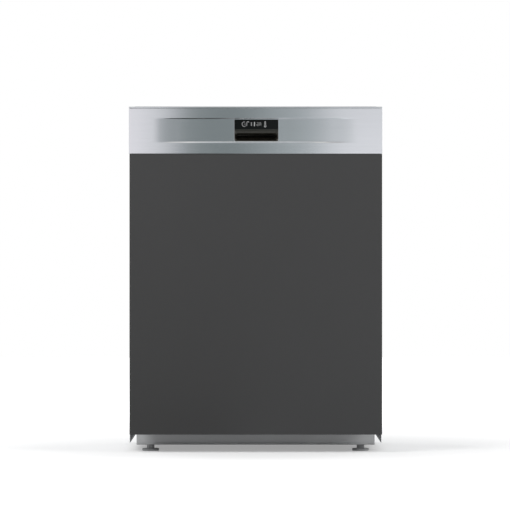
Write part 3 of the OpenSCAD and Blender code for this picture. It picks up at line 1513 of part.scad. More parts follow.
// Spray arm: two swept blades with nozzles, and a hub whose blind bore lies between two heights
module spray_arm(l, bore_z) {
    h = arm_w / 2;
    bore = arm_axle_r + pin_clearance;
    blades = rounded([[l / 2, -12], [l / 2, 9], [h + 12, h - 2], [4 - h, h],
                      [-l / 2, 12], [-l / 2, -9], [-h - 12, 2 - h], [h - 4, -h]],
                     [9, 9, 14, 10, 9, 9, 14, 10]);
    difference() {
        union() {
            slab_z(blades, -arm_t / 2, arm_t / 2);
            rod_z(0, arm_t, 0, 0, arm_axle_r + 9);
        }
        rod_z(bore_z[0], bore_z[1], 0, 0, bore);
        for (s = [-1, 1], t = [0.3, 0.48, 0.66, 0.84, 0.94])
            rod_z(arm_t / 2 - 2, arm_t / 2 + 1, s * t * l / 2, s * 3, 1.8);
    }
}
module lower_spray_arm() {
    color("steelblue") translate([0, tub_mid_y, lower_arm_z])
        spray_arm(lower_arm_l, [-arm_t, arm_t - hub_cap]);
}
module upper_spray_arm() {
    color("steelblue") translate([0, tub_mid_y, upper_arm_z])
        spray_arm(upper_arm_l, [hub_cap - arm_t / 2, arm_t + 1]);
}

// ---- Nodes ----

base_tray();
plinth_plate();
side_panels();
top_cover();
rear_cover();
front_rail();
tub_wrap();
tub_back_wall();
tub_floor();
door_gasket();
deadening_mats();
sump();
circulation_pump();
drain_pump();
inlet_valve();
hose_connectors();
water_softener();
water_chamber();
filter_plate();
spray_duct();
float_switch();
hinge_brackets();
door_springs();
tub_rails();
rear_foot_shaft();
salt_cap();
filter_cylinder();
lower_spray_arm();
foot_front_left();
foot_front_right();
foot_rear();
furniture_panel();
fascia();
grip_moulding();
display_glass();
control_housing();
control_board();
door_skin();
door_liner();
hinge_arms();
door_latch();
dispenser();
dispenser_lid();
rinse_aid_cap();
power_key();
program_key();
option_key();
start_key();
lower_basket();
fold_tines_left();
fold_tines_right();
front_wheels();
rear_wheels();
cutlery_basket();
upper_basket();
cup_shelf_left();
cup_shelf_right();
feed_tube();
upper_spray_arm();
middle_rails();
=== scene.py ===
"""Looks of a built-in dishwasher: steel fascia over a dark furniture panel, pressed cabinet and wire racks.

Lengths are in metres. The front, the window and the outer sheets are finer pieces that stand for the frame's
nodes. Every other node is shown as it is and gets its material here.
"""
import json
import math

import bmesh
import bpy
from mathutils import Matrix, Vector


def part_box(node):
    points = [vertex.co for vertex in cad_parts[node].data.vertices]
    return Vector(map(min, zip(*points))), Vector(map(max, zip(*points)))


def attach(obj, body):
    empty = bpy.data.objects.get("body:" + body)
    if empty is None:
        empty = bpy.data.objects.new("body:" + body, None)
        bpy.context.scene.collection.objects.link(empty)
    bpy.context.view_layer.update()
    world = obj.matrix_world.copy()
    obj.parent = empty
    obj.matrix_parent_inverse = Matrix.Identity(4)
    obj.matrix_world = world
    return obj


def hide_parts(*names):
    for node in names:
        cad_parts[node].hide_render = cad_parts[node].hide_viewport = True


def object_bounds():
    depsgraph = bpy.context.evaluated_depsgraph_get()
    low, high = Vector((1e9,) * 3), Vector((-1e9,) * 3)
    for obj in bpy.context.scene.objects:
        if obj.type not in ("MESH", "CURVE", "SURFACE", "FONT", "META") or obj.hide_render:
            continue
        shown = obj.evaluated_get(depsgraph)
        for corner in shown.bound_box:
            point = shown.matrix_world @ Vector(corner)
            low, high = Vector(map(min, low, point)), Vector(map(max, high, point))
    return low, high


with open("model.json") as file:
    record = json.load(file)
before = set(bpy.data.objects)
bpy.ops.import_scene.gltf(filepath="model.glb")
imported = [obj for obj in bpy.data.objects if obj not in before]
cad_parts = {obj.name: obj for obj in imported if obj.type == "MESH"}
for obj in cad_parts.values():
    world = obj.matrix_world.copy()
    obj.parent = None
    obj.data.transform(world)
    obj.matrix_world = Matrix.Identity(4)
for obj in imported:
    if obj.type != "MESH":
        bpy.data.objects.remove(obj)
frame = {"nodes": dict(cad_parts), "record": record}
NODES = frame["nodes"]
CAD_BOX = [list(v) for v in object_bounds()]


# ---- Node helpers ----

class Tree:
    """Short calls for building one material's nodes."""

    def __init__(self, name):
        self.mat = bpy.data.materials.new(name)
        self.mat.use_nodes = True
        self.nodes = self.mat.node_tree.nodes
        self.links = self.mat.node_tree.links
        self.nodes.clear()
        self.out = self.nodes.new("ShaderNodeOutputMaterial")
        self.coord = self.nodes.new("ShaderNodeTexCoord").outputs["Object"]

    def node(self, kind, inputs=None, **settings):
        """A node with its settings, and its inputs set or linked."""
        n = self.nodes.new(kind)
        for key, value in settings.items():
            setattr(n, key, value)
        for key, value in (inputs or {}).items():
            self.feed(n.inputs[key], value)
        return n

    def feed(self, socket, value):
        """Links the value to the socket if it is one itself, and writes it there if not."""
        if isinstance(value, bpy.types.NodeSocket):
            self.links.new(value, socket)
        else:
            socket.default_value = value

    def noise(self, scale, stretch=(1, 1, 1), detail=3.0, rough=0.55, offset=(0, 0, 0)):
        place = self.node("ShaderNodeMapping", {"Vector": self.coord, "Scale": stretch, "Location": offset})
        n = self.node("ShaderNodeTexNoise", {"Vector": place.outputs[0], "Scale": scale, "Detail": detail,
                                             "Roughness": rough})
        return n.outputs["Fac"]

    def ramp(self, fac, lo, hi, a=0.0, b=1.0):
        """fac from lo..hi mapped to a..b, clamped."""
        n = self.node("ShaderNodeMapRange", {"Value": fac, "From Min": lo, "From Max": hi, "To Min": a,
                                             "To Max": b})
        return n.outputs[0]

    def mix(self, fac, a, b):
        """Colour a to colour b."""
        n = self.nodes.new("ShaderNodeMix")
        n.data_type = "RGBA"
        self.feed(n.inputs[0], fac)
        for key, color in ((6, a), (7, b)):
            self.feed(n.inputs[key], color if isinstance(color, bpy.types.NodeSocket) else (*color[:3], 1))
        return n.outputs[2]

    def math(self, op, a, b=0.0):
        return self.node("ShaderNodeMath", {0: a, 1: b}, operation=op).outputs[0]

    def bump(self, height, strength, distance):
        n = self.node("ShaderNodeBump", {"Height": height, "Strength": strength, "Distance": distance})
        return n.outputs[0]

    def shader(self, **inputs):
        """The principled shader, linked to the output. An underscore in a name stands for a space."""
        p = self.node("ShaderNodeBsdfPrincipled", {k.replace("_", " "): v for k, v in inputs.items()})
        self.links.new(p.outputs[0], self.out.inputs[0])
        return p


def seen_by_eye_or_gloss(nodes, links):
    """1 on camera, gloss and glass rays, 0 on those that light the object."""
    path = nodes.new("ShaderNodeLightPath")
    seen = path.outputs["Is Camera Ray"]
    for name in ("Is Glossy Ray", "Is Transmission Ray"):
        either = nodes.new("ShaderNodeMath")
        either.operation = "MAXIMUM"
        links.new(seen, either.inputs[0])
        links.new(path.outputs[name], either.inputs[1])
        seen = either.outputs[0]
    return seen


def shade(color, k):
    return tuple(min(1.0, v * k) for v in color[:3]) + (1,)


def metal(name, color, rough, grain=(1, 1, 1), scale=700, vary=0.06):
    """Metal with a grain stretched along one axis and slow cloudy stains."""
    t = Tree(name)
    fine = t.noise(scale, grain, detail=4)
    slow = t.noise(9, detail=2)
    tone = t.mix(t.ramp(fine, 0.3, 0.7), shade(color, 1 - vary), shade(color, 1 + vary))
    tone = t.mix(t.ramp(slow, 0.35, 0.7, 0, 0.05), tone, shade(color, 0.6))
    r = t.math("ADD", t.ramp(fine, 0.25, 0.75, rough * 0.85, rough * 1.15),
               t.ramp(slow, 0.3, 0.7, 0, rough * 0.12))
    t.shader(Base_Color=tone, Metallic=1.0, Roughness=r, Normal=t.bump(fine, 0.15, 0.0002))
    return t.mat


def plastic(name, color, rough, scale=2200, vary=0.05, bump=0.12, coat=0.0, specular=0.5):
    """Moulded plastic: fine spark-eroded grain, slow tone shifts and slightly uneven gloss."""
    t = Tree(name)
    grain = t.noise(scale, detail=2)
    slow = t.noise(14, detail=3)
    tone = t.mix(t.ramp(slow, 0.3, 0.7), shade(color, 1 - vary), shade(color, 1 + vary))
    r = t.ramp(t.noise(60, detail=3), 0.3, 0.7, rough * 0.9, min(1, rough * 1.12))
    p = t.shader(Base_Color=tone, Roughness=r, Normal=t.bump(grain, bump, 0.0002))
    p.inputs["Specular IOR Level"].default_value = specular
    if coat:
        p.inputs["Coat Weight"].default_value = coat
        p.inputs["Coat Roughness"].default_value = 0.05
    return t.mat


# ---- Mesh helpers ----

def piece(name, bm, mat, body, smooth=True, angle=35):
    """A new object from a BMesh, which is freed, with its material and slot, riding on a body."""
    mesh = bpy.data.meshes.new(name)
    bm.to_mesh(mesh)
    bm.free()
    obj = bpy.data.objects.new(name, mesh)
    bpy.context.scene.collection.objects.link(obj)
    mesh.materials.append(mat)
    if smooth:
        for p in mesh.polygons:
            p.use_smooth = True
        mesh.set_sharp_from_angle(angle=math.radians(angle))
    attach(obj, body)
    return obj


def bevelled(obj, name, width, segments, angle=None):
    """Rounds the object's edges: those past an angle in degrees, or those that Blender's own limit takes."""
    m = obj.modifiers.new(name, "BEVEL")
    m.width = width
    m.segments = segments
    m.limit_method = "ANGLE"
    if angle:
        m.angle_limit = math.radians(angle)


def thickened(obj, name, wall):
    """Gives the object's faces a wall to the inside."""
    m = obj.modifiers.new(name, "SOLIDIFY")
    m.thickness = wall
    m.offset = -1


def ring_wall(bm, rings):
    """Quads between closed rings of equally many vertices."""
    n = len(rings[0])
    for a, b in zip(rings, rings[1:]):
        for k in range(n):
            q = (k + 1) % n
            bm.faces.new((a[k], a[q], b[q], b[k]))


def loft(bm, loops, cap_first=False, cap_last=True):
    """Skin over closed loops of equally many points."""
    rings = [[bm.verts.new(p) for p in points] for points in loops]
    ring_wall(bm, rings)
    if cap_first:
        bm.faces.new(rings[0][::-1])
    if cap_last:
        bm.faces.new(rings[-1])
    bmesh.ops.recalc_face_normals(bm, faces=bm.faces)


def turn_to(normal, at):
    """Matrix that sends +Z to normal and the origin to at."""
    return Matrix.Translation(at) @ Vector(normal).to_track_quat("Z", "Y").to_matrix().to_4x4()


# ---- Camera and lamps ----

IMAGE_M = 1.2007                # what the picture's width spans at the fascia's face
MIDDLE_X, MIDDLE_Z = -0.0014, 0.466
LENS, SENSOR = 300.0, 36.0      # mm

cam = bpy.data.cameras.new("camera")
cam.sensor_width = SENSOR
cam.lens = LENS
cam.clip_end = 60
view = bpy.data.objects.new("camera", cam)
view.location = (MIDDLE_X, CAD_BOX[0][1] - IMAGE_M * LENS / SENSOR, MIDDLE_Z)
view.rotation_euler = (math.radians(90), 0, 0)
bpy.context.scene.collection.objects.link(view)
bpy.context.scene.camera = view
bpy.context.scene.view_settings.view_transform = "Standard"


def studio_world():
    """White to the eye and to gloss, and a soft pale light for the rest."""
    world = bpy.data.worlds.new("studio")
    bpy.context.scene.world = world
    world.use_nodes = True
    nodes, links = world.node_tree.nodes, world.node_tree.links
    nodes.clear()
    mix = nodes.new("ShaderNodeMixShader")
    links.new(seen_by_eye_or_gloss(nodes, links), mix.inputs[0])
    for k, color, strength in ((1, (0.98, 0.99, 1.0, 1), 0.45), (2, (1, 1, 1, 1), 1.0)):
        light = nodes.new("ShaderNodeBackground")
        light.inputs["Color"].default_value = color
        light.inputs["Strength"].default_value = strength
        links.new(light.outputs[0], mix.inputs[k])
    links.new(mix.outputs[0], nodes.new("ShaderNodeOutputWorld").inputs[0])


LAMP_SIZE = 1.6
LAMP_TARGET = Vector((0, 0, 0.4))
LAMPS = (("key", (-1.9, -2.6, 2.3), 50), ("fill", (2.4, -2.2, 1.6), 27),
         ("back_left", (-2.4, 2.4, 1.9), 24), ("back_right", (2.2, 2.6, 1.7), 21))

studio_world()
for name, at, power in LAMPS:
    lamp = bpy.data.lights.new(name, "AREA")
    lamp.shape = "RECTANGLE"
    lamp.size = lamp.size_y = LAMP_SIZE
    lamp.energy = power
    obj = bpy.data.objects.new(name, lamp)
    obj.location = at
    obj.rotation_mode = "QUATERNION"
    obj.rotation_quaternion = (LAMP_TARGET - Vector(at)).to_track_quat("-Z", "Y")
    bpy.context.scene.collection.objects.link(obj)


# ---- Floor, and glowing cards that paint the steel's reflections; neither is part of the object ----

def stage_plane(name, corners, mat):
    mesh = bpy.data.meshes.new(name)
    mesh.from_pydata(corners, [], [(0, 1, 2, 3)])
    mesh.materials.append(mat)
    obj = bpy.data.objects.new(name, mesh)
    bpy.context.scene.collection.objects.link(obj)
    return obj


def floor_paper():
    """Pale paper, lifted towards white for the eye and for gloss: a little near the object, fully far off."""
    t = Tree("floor_paper")
    own = t.node("ShaderNodeBsdfDiffuse",
                 {"Color": t.mix(t.ramp(t.noise(3), 0.3, 0.7), (0.80, 0.80, 0.80), (0.82, 0.82, 0.82))})
    sep = t.node("ShaderNodeSeparateXYZ", {"Vector": t.coord})
    squares = [t.math("POWER", sep.outputs[k], 2.0) for k in (0, 1)]
    far = t.math("SQRT", t.math("ADD", *squares))
    lift = t.node("ShaderNodeEmission", {"Color": (1, 1, 1, 1), "Strength": t.ramp(far, 0.5, 2.2, 0.32, 1.0)})
    both = t.node("ShaderNodeAddShader", {0: own.outputs[0], 1: lift.outputs[0]})
    pick = t.node("ShaderNodeMixShader", {0: seen_by_eye_or_gloss(t.nodes, t.links), 1: own.outputs[0],
                                          2: both.outputs[0]})
    t.links.new(pick.outputs[0], t.out.inputs[0])
    return t.mat


FLOOR_R = 9.0
FLOOR_FRONT = -FLOOR_R - 3
stage_plane("floor", [(-FLOOR_R, FLOOR_FRONT, 0), (FLOOR_R, FLOOR_FRONT, 0), (FLOOR_R, FLOOR_R, 0),
                      (-FLOOR_R, FLOOR_R, 0)], floor_paper())


def front_power(t, x, z):
    """The front card's strength, painted light and shade in the steel's reflection: less towards its foot on
    the left, a little more low on the right.
    """
    missing = t.ramp(z, 0.10, 0.50, 0.88, 0.0)
    power = t.math("SUBTRACT", 1.0, t.math("MULTIPLY", missing, t.ramp(x, 0.05, 0.12, 1.0, -0.5)))
    return t.math("ADD", power, t.math("MULTIPLY", t.ramp(z, 0.83, 0.75), t.ramp(x, 0.0, 0.15, 0.04, 0.14)))


def card(name, corners, reach, stops, upright=False):
    """Card that only gloss sees and that lights nothing: a painted reflection. Its light runs through stops
    (place, value) along X.

    An upright one has its own strength by place, and turns into a painted sky reflection above the object.
    """
    t = Tree(name)
    sep = t.node("ShaderNodeSeparateXYZ", {"Vector": t.coord})
    x, z = sep.outputs[0], sep.outputs[2]
    ramp = t.node("ShaderNodeValToRGB", {"Fac": t.ramp(x, -reach, reach)})
    ramp.color_ramp.interpolation = "EASE"
    elements = ramp.color_ramp.elements
    while len(elements) < len(stops):
        elements.new(0.5)
    for k, (place, v) in enumerate(stops):
        elements[k].position = (place + reach) / (2 * reach)
        elements[k].color = (v * (0.80 + 0.21 * v), v, v * (1.03 + 0.03 * v), 1)
    color = ramp.outputs["Color"]
    power = 1.0
    if upright:
        sky = t.mix(t.ramp(x, -0.2, 0.06), (0.85, 0.85, 0.85), (0.55, 0.55, 0.55))
        color = t.mix(t.ramp(z, 1.0, 1.3, 0.0, 0.9), color, sky)
        power = front_power(t, x, z)
    glow = t.node("ShaderNodeEmission", {"Color": color, "Strength": power})
    t.links.new(glow.outputs[0], t.out.inputs[0])
    obj = stage_plane(name, corners, t.mat)
    obj.visible_camera = obj.visible_diffuse = obj.visible_transmission = obj.visible_shadow = False
    obj.visible_volume_scatter = False


def level(x, y0, y1, z):
    """Corners of a level rectangle, x to both sides."""
    return [(-x, y0, z), (x, y0, z), (x, y1, z), (-x, y1, z)]


CARD_X, CARD_Y, CARD_FOOT, CARD_TOP = 1.5, -1.2, 0.03, 1.75
LOW_BACK = -0.31
ROOF_X, ROOF_Z = 1.2, 1.9
SKY_FRONT, SKY_BACK, ROOF_BACK = -0.95, -0.3, 1.3

card("card_front", [(-CARD_X, CARD_Y, CARD_FOOT), (CARD_X, CARD_Y, CARD_FOOT), (CARD_X, CARD_Y, CARD_TOP),
                    (-CARD_X, CARD_Y, CARD_TOP)], CARD_X,
     ((-0.32, 1.0), (-0.26, 0.86), (-0.155, 0.29), (-0.07, 0.265), (0.10, 0.46), (0.24, 0.86), (0.5, 0.90)),
     upright=True)
# The low card is mostly dark: painted shade in the steel's reflection, over the pale floor.
card("card_low", level(CARD_X, CARD_Y, LOW_BACK, CARD_FOOT), CARD_X,
     ((-0.5, 0.4), (-0.24, 0.02), (-0.07, 0.02), (-0.035, 0.8), (0.06, 0.8), (0.12, 0.58), (0.5, 0.66)))
# The roof cards paint a dim overhead and a brighter sky into the steel's reflection.
card("card_over", level(ROOF_X, SKY_BACK, ROOF_BACK, ROOF_Z), ROOF_X, ((-0.6, 0.30), (0.6, 0.34)))
card("card_sky", level(ROOF_X, SKY_FRONT, SKY_BACK, ROOF_Z), ROOF_X,
     ((-0.3, 0.70), (-0.1, 0.64), (-0.05, 0.65), (0.01, 0.71), (0.06, 0.74), (0.14, 0.52), (0.5, 0.52)))


# ---- Steel fascia ----

SHEET = 0.001
F_LO, F_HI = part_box("fascia")
CH_Z = F_LO.z + 0.0545          # middle of the channel
CH_W, CH_H, CH_D = 0.486, 0.0584, 0.003
CH_FLAT = 0.050                 # half of the stretch at full depth
CH_DRAFT, CH_DRAFT_LOW = 0.0025, 0.0038
CH_SOFT = 0.15                  # share of the lower wall that is rounded at each of its ends
CH_STEP, CH_STEP_W = 0.12, 0.060
CREASE_Z, CREASE_W, CREASE_D = F_HI.z - 0.0041, 0.0003, 0.0016
CREASE_END = 0.012
WIN_X, WIN_Z, WIN_W, WIN_H = 0.00175, -0.0002, 0.1038, 0.0514
WIN = (WIN_X - WIN_W / 2, WIN_X + WIN_W / 2, CH_Z + WIN_Z - WIN_H / 2, CH_Z + WIN_Z + WIN_H / 2)
WIN_LAP = 0.0006                # width of the narrow faces round the window
FOOT_R, FOOT_DROP = 0.0005, 0.0004
FOLD_Z = 0.0018                 # the face ends this far under the top, where the fold begins
BEND_X = CH_W / 2 - 0.035       # middle of the bend at each end of the channel
# The grid of the face: steps, reach of the extra lines on each side of a bend, number of them.
GRID_X, GRID_Z = (110, 0.036, 24), (24, 0.0024, 16)


def ease(t):
    t = max(0.0, min(1.0, t))
    return t * t * (3 - 2 * t)


def long_slope(u, a=0.09, b=0.16):
    """0 to 1 in a straight line that is rounded off over a at its start and over b at its end."""
    u = max(0.0, min(1.0, u))
    full = 1 - (a + b) / 2
    if u < a:
        return u * u / (2 * a * full)
    if u > 1 - b:
        return 1 - (1 - u) ** 2 / (2 * b * full)
    return (u - a / 2) / full


def channel_depth(x, z):
    """How far the pressed channel lies behind the fascia's face."""
    inward = CH_W / 2 - abs(x)
    along = long_slope(inward / (CH_W / 2 - CH_FLAT)) * (1 - CH_STEP) + CH_STEP * ease(inward / CH_STEP_W)
    draft = CH_DRAFT if z > CH_Z else CH_DRAFT_LOW
    edge = CH_H / 2 + (draft - CH_DRAFT) / 2
    out = (abs(z - CH_Z) - edge) / draft + 1
    return CH_D * along * (1 - (ease(out) if z > CH_Z else long_slope(out, CH_SOFT, CH_SOFT)))


def crease(x, z):
    """Depth of the fine line pressed in along the fascia's top. It runs out at both ends."""
    return CREASE_D * max(0.0, 1 - abs(z - CREASE_Z) / CREASE_W) * ease((F_HI.x - abs(x)) / CREASE_END)


def stations(a, b, grid, near, keep, least=0.0002):
    """Places from a to b, with extra ones round those in near and with those in keep exactly."""
    n, width, extra = grid
    s = {a + (b - a) * i / n for i in range(n + 1)}
    for c in near:
        s |= {c - width + 2 * width * i / extra for i in range(extra + 1)}
    s = sorted(v for v in s if a < v < b and all(abs(v - k) > 2 * least for k in keep))
    out = [a]
    for v in s:
        if v - out[-1] > least and b - v > least:
            out.append(v)
    return sorted([*out, b, *keep])


def fascia_mesh():
    """Profiles in the YZ plane along X, with the window's opening left out."""
    bm = bmesh.new()
    # The top edge folds back: (depth, height under the top).
    fold = ((0.0, -0.0016), (0.00012, -0.0014), (0.0009, -0.00062), (0.0014, -0.00022), (0.0018, -0.00003),
            (0.0021, 0))
    x0, x1, z0, z1, y0, y1 = F_LO.x, F_HI.x, F_LO.z - FOOT_DROP, F_HI.z, F_LO.y, F_HI.y
    xs = stations(x0, x1, GRID_X, (-BEND_X, BEND_X), (WIN[0] - WIN_LAP, *WIN[:2], WIN[1] + WIN_LAP), 0.001)
    edge = CH_H / 2 - CH_DRAFT / 2
    zs = stations(z0 + FOOT_R, z1 - FOLD_Z, GRID_Z, (CH_Z - edge, CH_Z + edge),
                  (WIN[2] - WIN_LAP, *WIN[2:], WIN[3] + WIN_LAP,
                   CREASE_Z - CREASE_W, CREASE_Z, CREASE_Z + CREASE_W))
    foot_arc = [math.radians(a) for a in (0, 15, 30, 45, 60, 75)]
    lower = [(y1, z0)] + [(y0 + FOOT_R - FOOT_R * math.sin(a), z0 + FOOT_R - FOOT_R * math.cos(a))
                          for a in foot_arc]
    upper = [(y0 + y, z1 + z) for y, z in fold] + [(y1, z1)]
    rows = []
    for x in xs:
        face = [(y0 + channel_depth(x, z) + crease(x, z), z) for z in zs]
        rows.append([bm.verts.new((x, y, z)) for y, z in lower + face + upper])
    for a, b in zip(rows, rows[1:]):
        for j in range(len(a) - 1):
            c = (a[j].co + b[j + 1].co) / 2
            if WIN[0] < c.x < WIN[1] and WIN[2] < c.z < WIN[3] and c.y < y0 + 0.01:
                continue
            bm.faces.new((a[j], b[j], b[j + 1], a[j + 1]))
    bm.faces.new(rows[0])
    bm.faces.new(rows[-1][::-1])
    bmesh.ops.delete(bm, geom=[v for v in bm.verts if not v.link_faces], context="VERTS")
    for f in bm.faces:
        f.normal_update()
    return bm


def brushed_fascia():
    """Brushed steel: fine hairlines along X that spread its gloss up and down, and a slow tone."""
    t = Tree("brushed_fascia")
    fine = t.noise(1.0, (9, 700, 1900), detail=5, rough=0.7)
    broad = t.noise(1.0, (2.2, 90, 260), detail=3, rough=0.6, offset=(3, 1, 7))
    slow = t.noise(4, detail=2)
    tone = t.mix(t.ramp(fine, 0.25, 0.75), (0.675, 0.678, 0.682), (0.725, 0.727, 0.731))
    tone = t.mix(t.ramp(broad, 0.4, 0.75, 0, 0.12), tone, (0.60, 0.603, 0.606))
    tone = t.mix(t.ramp(slow, 0.35, 0.7, 0, 0.05), tone, (0.62, 0.635, 0.65))
    rough = t.ramp(fine, 0.25, 0.75, 0.165, 0.205)
    p = t.shader(Base_Color=tone, Metallic=1.0, Roughness=rough, Normal=t.bump(fine, 0.03, 0.0001))
    p.inputs["Anisotropic"].default_value = 0.75
    p.inputs["Anisotropic Rotation"].default_value = 0.25
    tangent = t.node("ShaderNodeTangent", direction_type="RADIAL", axis="Z")
    t.links.new(tangent.outputs[0], p.inputs["Tangent"])
    return t.mat


def sharpen_open_edges(mesh):
    """Marks the edges that lie on one face only as sharp."""
    count = {}
    for p in mesh.polygons:
        for key in p.edge_keys:
            count[key] = count.get(key, 0) + 1
    for edge in mesh.edges:
        edge.use_edge_sharp = count.get(edge.key, 0) < 2 or edge.use_edge_sharp


FASCIA = brushed_fascia()
fascia = piece("fascia_steel", fascia_mesh(), FASCIA, "door")
sharpen_open_edges(fascia.data)
bevelled(fascia, "edges", 0.0008, 3, angle=60)
thickened(fascia, "sheet", SHEET)
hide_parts("fascia")


# ---- Materials of the carried-over nodes ----

def wire_coat(name, color, rough=0.42):
    """Nylon-dipped wire: soft orange-peel skin, uneven gloss and a faint clear coat."""
    t = Tree(name)
    skin = t.noise(420, detail=3)
    slow = t.noise(25, detail=2)
    tone = t.mix(t.ramp(slow, 0.3, 0.7), shade(color, 0.93), shade(color, 1.06))
    p = t.shader(Base_Color=tone, Roughness=t.ramp(skin, 0.3, 0.7, rough * 0.85, rough * 1.15),
                 Normal=t.bump(skin, 0.25, 0.0003))
    p.inputs["Coat Weight"].default_value = 0.15
    p.inputs["Coat Roughness"].default_value = 0.3
    return t.mat


def lacquer(name, color, rough):
    """Matt lacquer on a furniture panel: fine stipple, faint roller tone and dust-soft gloss."""
    t = Tree(name)
    stipple = t.noise(3200, detail=2)
    peel = t.noise(160, detail=3)
    slow = t.noise(3, detail=2)
    tone = t.mix(t.ramp(slow, 0.3, 0.7), shade(color, 0.975), shade(color, 1.025))
    tone = t.mix(t.ramp(stipple, 0.35, 0.65, 0, 0.10), tone, shade(color, 1.25))
    height = t.math("ADD", t.math("MULTIPLY", stipple, 0.5), peel)
    p = t.shader(Base_Color=tone, Roughness=t.ramp(peel, 0.3, 0.7, rough * 0.94, rough * 1.05),
                 Normal=t.bump(height, 0.06, 0.0002))
    p.inputs["Specular IOR Level"].default_value = 0.3
    return t.mat


def galvanised(name):
    """Zinc-coated sheet: small soft spangles in tone and gloss, duller at a glancing angle."""
    t = Tree(name)
    cells = t.node("ShaderNodeTexVoronoi", {"Vector": t.coord, "Scale": 130.0})
    spangle = t.ramp(cells.outputs["Color"], 0.0, 1.0)
    slow = t.noise(6, detail=3)
    tone = t.mix(spangle, (0.43, 0.442, 0.455), (0.52, 0.53, 0.54))
    tone = t.mix(t.ramp(slow, 0.35, 0.7, 0, 0.25), tone, (0.40, 0.41, 0.42))
    p = t.shader(Base_Color=tone, Metallic=1.0, Roughness=t.ramp(spangle, 0.0, 1.0, 0.36, 0.5),
                 Normal=t.bump(spangle, 0.05, 0.0001))
    p.inputs["Specular Tint"].default_value = (0.45, 0.455, 0.46, 1)
    return t.mat


def bitumen_mat(name):
    """Bitumen mat: coarse pebbled skin."""
    t = Tree(name)
    lumps = t.noise(240, detail=5, rough=0.65)
    tone = t.mix(t.ramp(lumps, 0.3, 0.7), (0.010, 0.010, 0.011), (0.026, 0.025, 0.026))
    t.shader(Base_Color=tone, Roughness=t.ramp(lumps, 0.3, 0.7, 0.55, 0.85), Normal=t.bump(lumps, 0.6, 0.001))
    return t.mat


def circuit(name):
    """Solder mask with a faint weave of slightly lighter lines."""
    t = Tree(name)
    weave = t.node("ShaderNodeTexBrick", {"Vector": t.coord, "Scale": 90.0, "Color1": (0.008, 0.07, 0.03, 1),
                                          "Color2": (0.010, 0.09, 0.035, 1), "Mortar": (0.02, 0.13, 0.05, 1),
                                          "Mortar Size": 0.03})
    t.shader(Base_Color=weave.outputs["Color"], Roughness=t.ramp(t.noise(80), 0.3, 0.7, 0.35, 0.5))
    return t.mat


def tub_steel(name, color=(0.60, 0.605, 0.61)):
    """Smooth rolled steel of the tub, with a very fine vertical grain and soft wash marks."""
    t = Tree(name)
    fine = t.noise(1.0, (1100, 1100, 26), detail=4, rough=0.65)
    marks = t.noise(7, (1, 1, 0.5), detail=4)
    tone = t.mix(t.ramp(fine, 0.3, 0.7), shade(color, 0.95), shade(color, 1.05))
    tone = t.mix(t.ramp(marks, 0.45, 0.75, 0, 0.12), tone, shade(color, 0.75))
    r = t.math("ADD", t.ramp(fine, 0.3, 0.7, 0.20, 0.27), t.ramp(marks, 0.4, 0.7, 0, 0.08))
    t.shader(Base_Color=tone, Metallic=1.0, Roughness=r, Normal=t.bump(fine, 0.06, 0.0001))
    return t.mat


def soft_rubber(name, color=(0.022, 0.022, 0.023)):
    """Moulded seal rubber with a dusty sheen."""
    t = Tree(name)
    grain = t.noise(900, detail=3)
    tone = t.mix(t.ramp(t.noise(20), 0.3, 0.7), shade(color, 0.85), shade(color, 1.25))
    p = t.shader(Base_Color=tone, Roughness=t.ramp(grain, 0.3, 0.7, 0.62, 0.8),
                 Normal=t.bump(grain, 0.2, 0.0002))
    p.inputs["Sheen Weight"].default_value = 0.15
    return t.mat


RACK_GREY = (0.33, 0.345, 0.36)
LOOK = {
    "stainless_brushed": lambda: FASCIA,
    "stainless_tub": lambda: tub_steel("tub_steel"),
    "zinc_steel": lambda: galvanised("galvanised"),
    "graphite_front": lambda: lacquer("graphite_lacquer", (0.062, 0.0618, 0.0615), 0.56),
    "black_plastic": lambda: plastic("black_plastic", (0.012, 0.012, 0.012), 0.34),
    "black_glass": lambda: plastic("black_glass", (0.006, 0.006, 0.007), 0.10, vary=0.02, bump=0.0, coat=1.0),
    "grey_plastic": lambda: plastic("grey_plastic", (0.20, 0.21, 0.22), 0.42),
    "dark_plastic": lambda: plastic("dark_plastic", (0.04, 0.042, 0.045), 0.48),
    "light_plastic": lambda: plastic("light_plastic", (0.66, 0.67, 0.66), 0.40),
    "natural_plastic": lambda: plastic("natural_plastic", (0.70, 0.71, 0.68), 0.45, vary=0.07),
    "base_plastic": lambda: plastic("base_plastic", (0.46, 0.465, 0.47), 0.55),
    "plinth_steel": lambda: lacquer("plinth_lacquer", (0.55, 0.555, 0.56), 0.5),
    "rubber": lambda: soft_rubber("seal_rubber"),
    "bitumen": lambda: bitumen_mat("bitumen"),
    "pump_plastic": lambda: plastic("pump_plastic", (0.03, 0.034, 0.04), 0.45),
    "valve_plastic": lambda: plastic("valve_plastic", (0.72, 0.72, 0.70), 0.42),
    "rack_wire": lambda: wire_coat("rack_coat", RACK_GREY),
    "tine_wire": lambda: wire_coat("tine_coat", RACK_GREY),
    "rail_steel": lambda: metal("rail_steel", (0.64, 0.645, 0.65), 0.26, (900, 10, 900), 1.0),
    "cutlery_plastic": lambda: plastic("cutlery_plastic", (0.17, 0.18, 0.19), 0.45),
    "arm_plastic": lambda: plastic("arm_plastic", (0.16, 0.175, 0.19), 0.38),
    "filter_steel": lambda: metal("filter_steel", (0.58, 0.585, 0.59), 0.3),
    "key_metal": lambda: metal("key_metal", (0.6, 0.605, 0.61), 0.3, (10, 900, 900), 1.0),
    "board": lambda: circuit("solder_mask"),
    "spring_steel": lambda: metal("spring_steel", (0.5, 0.5, 0.51), 0.3),
    "float_foam": lambda: plastic("float_foam", (0.62, 0.62, 0.56), 0.8, scale=900, bump=0.4),
}
SLOT_OF = {s["node"]: s["material_slot"] for s in frame["record"]["subparts"]}
made = {}
for node_name, obj in NODES.items():
    key = SLOT_OF[node_name]
    if key not in made:
        made[key] = LOOK[key]()
    for ms in obj.material_slots:
        ms.link = "OBJECT"
        ms.material = made[key]


# ---- Window: glass, symbols and finger recess ----

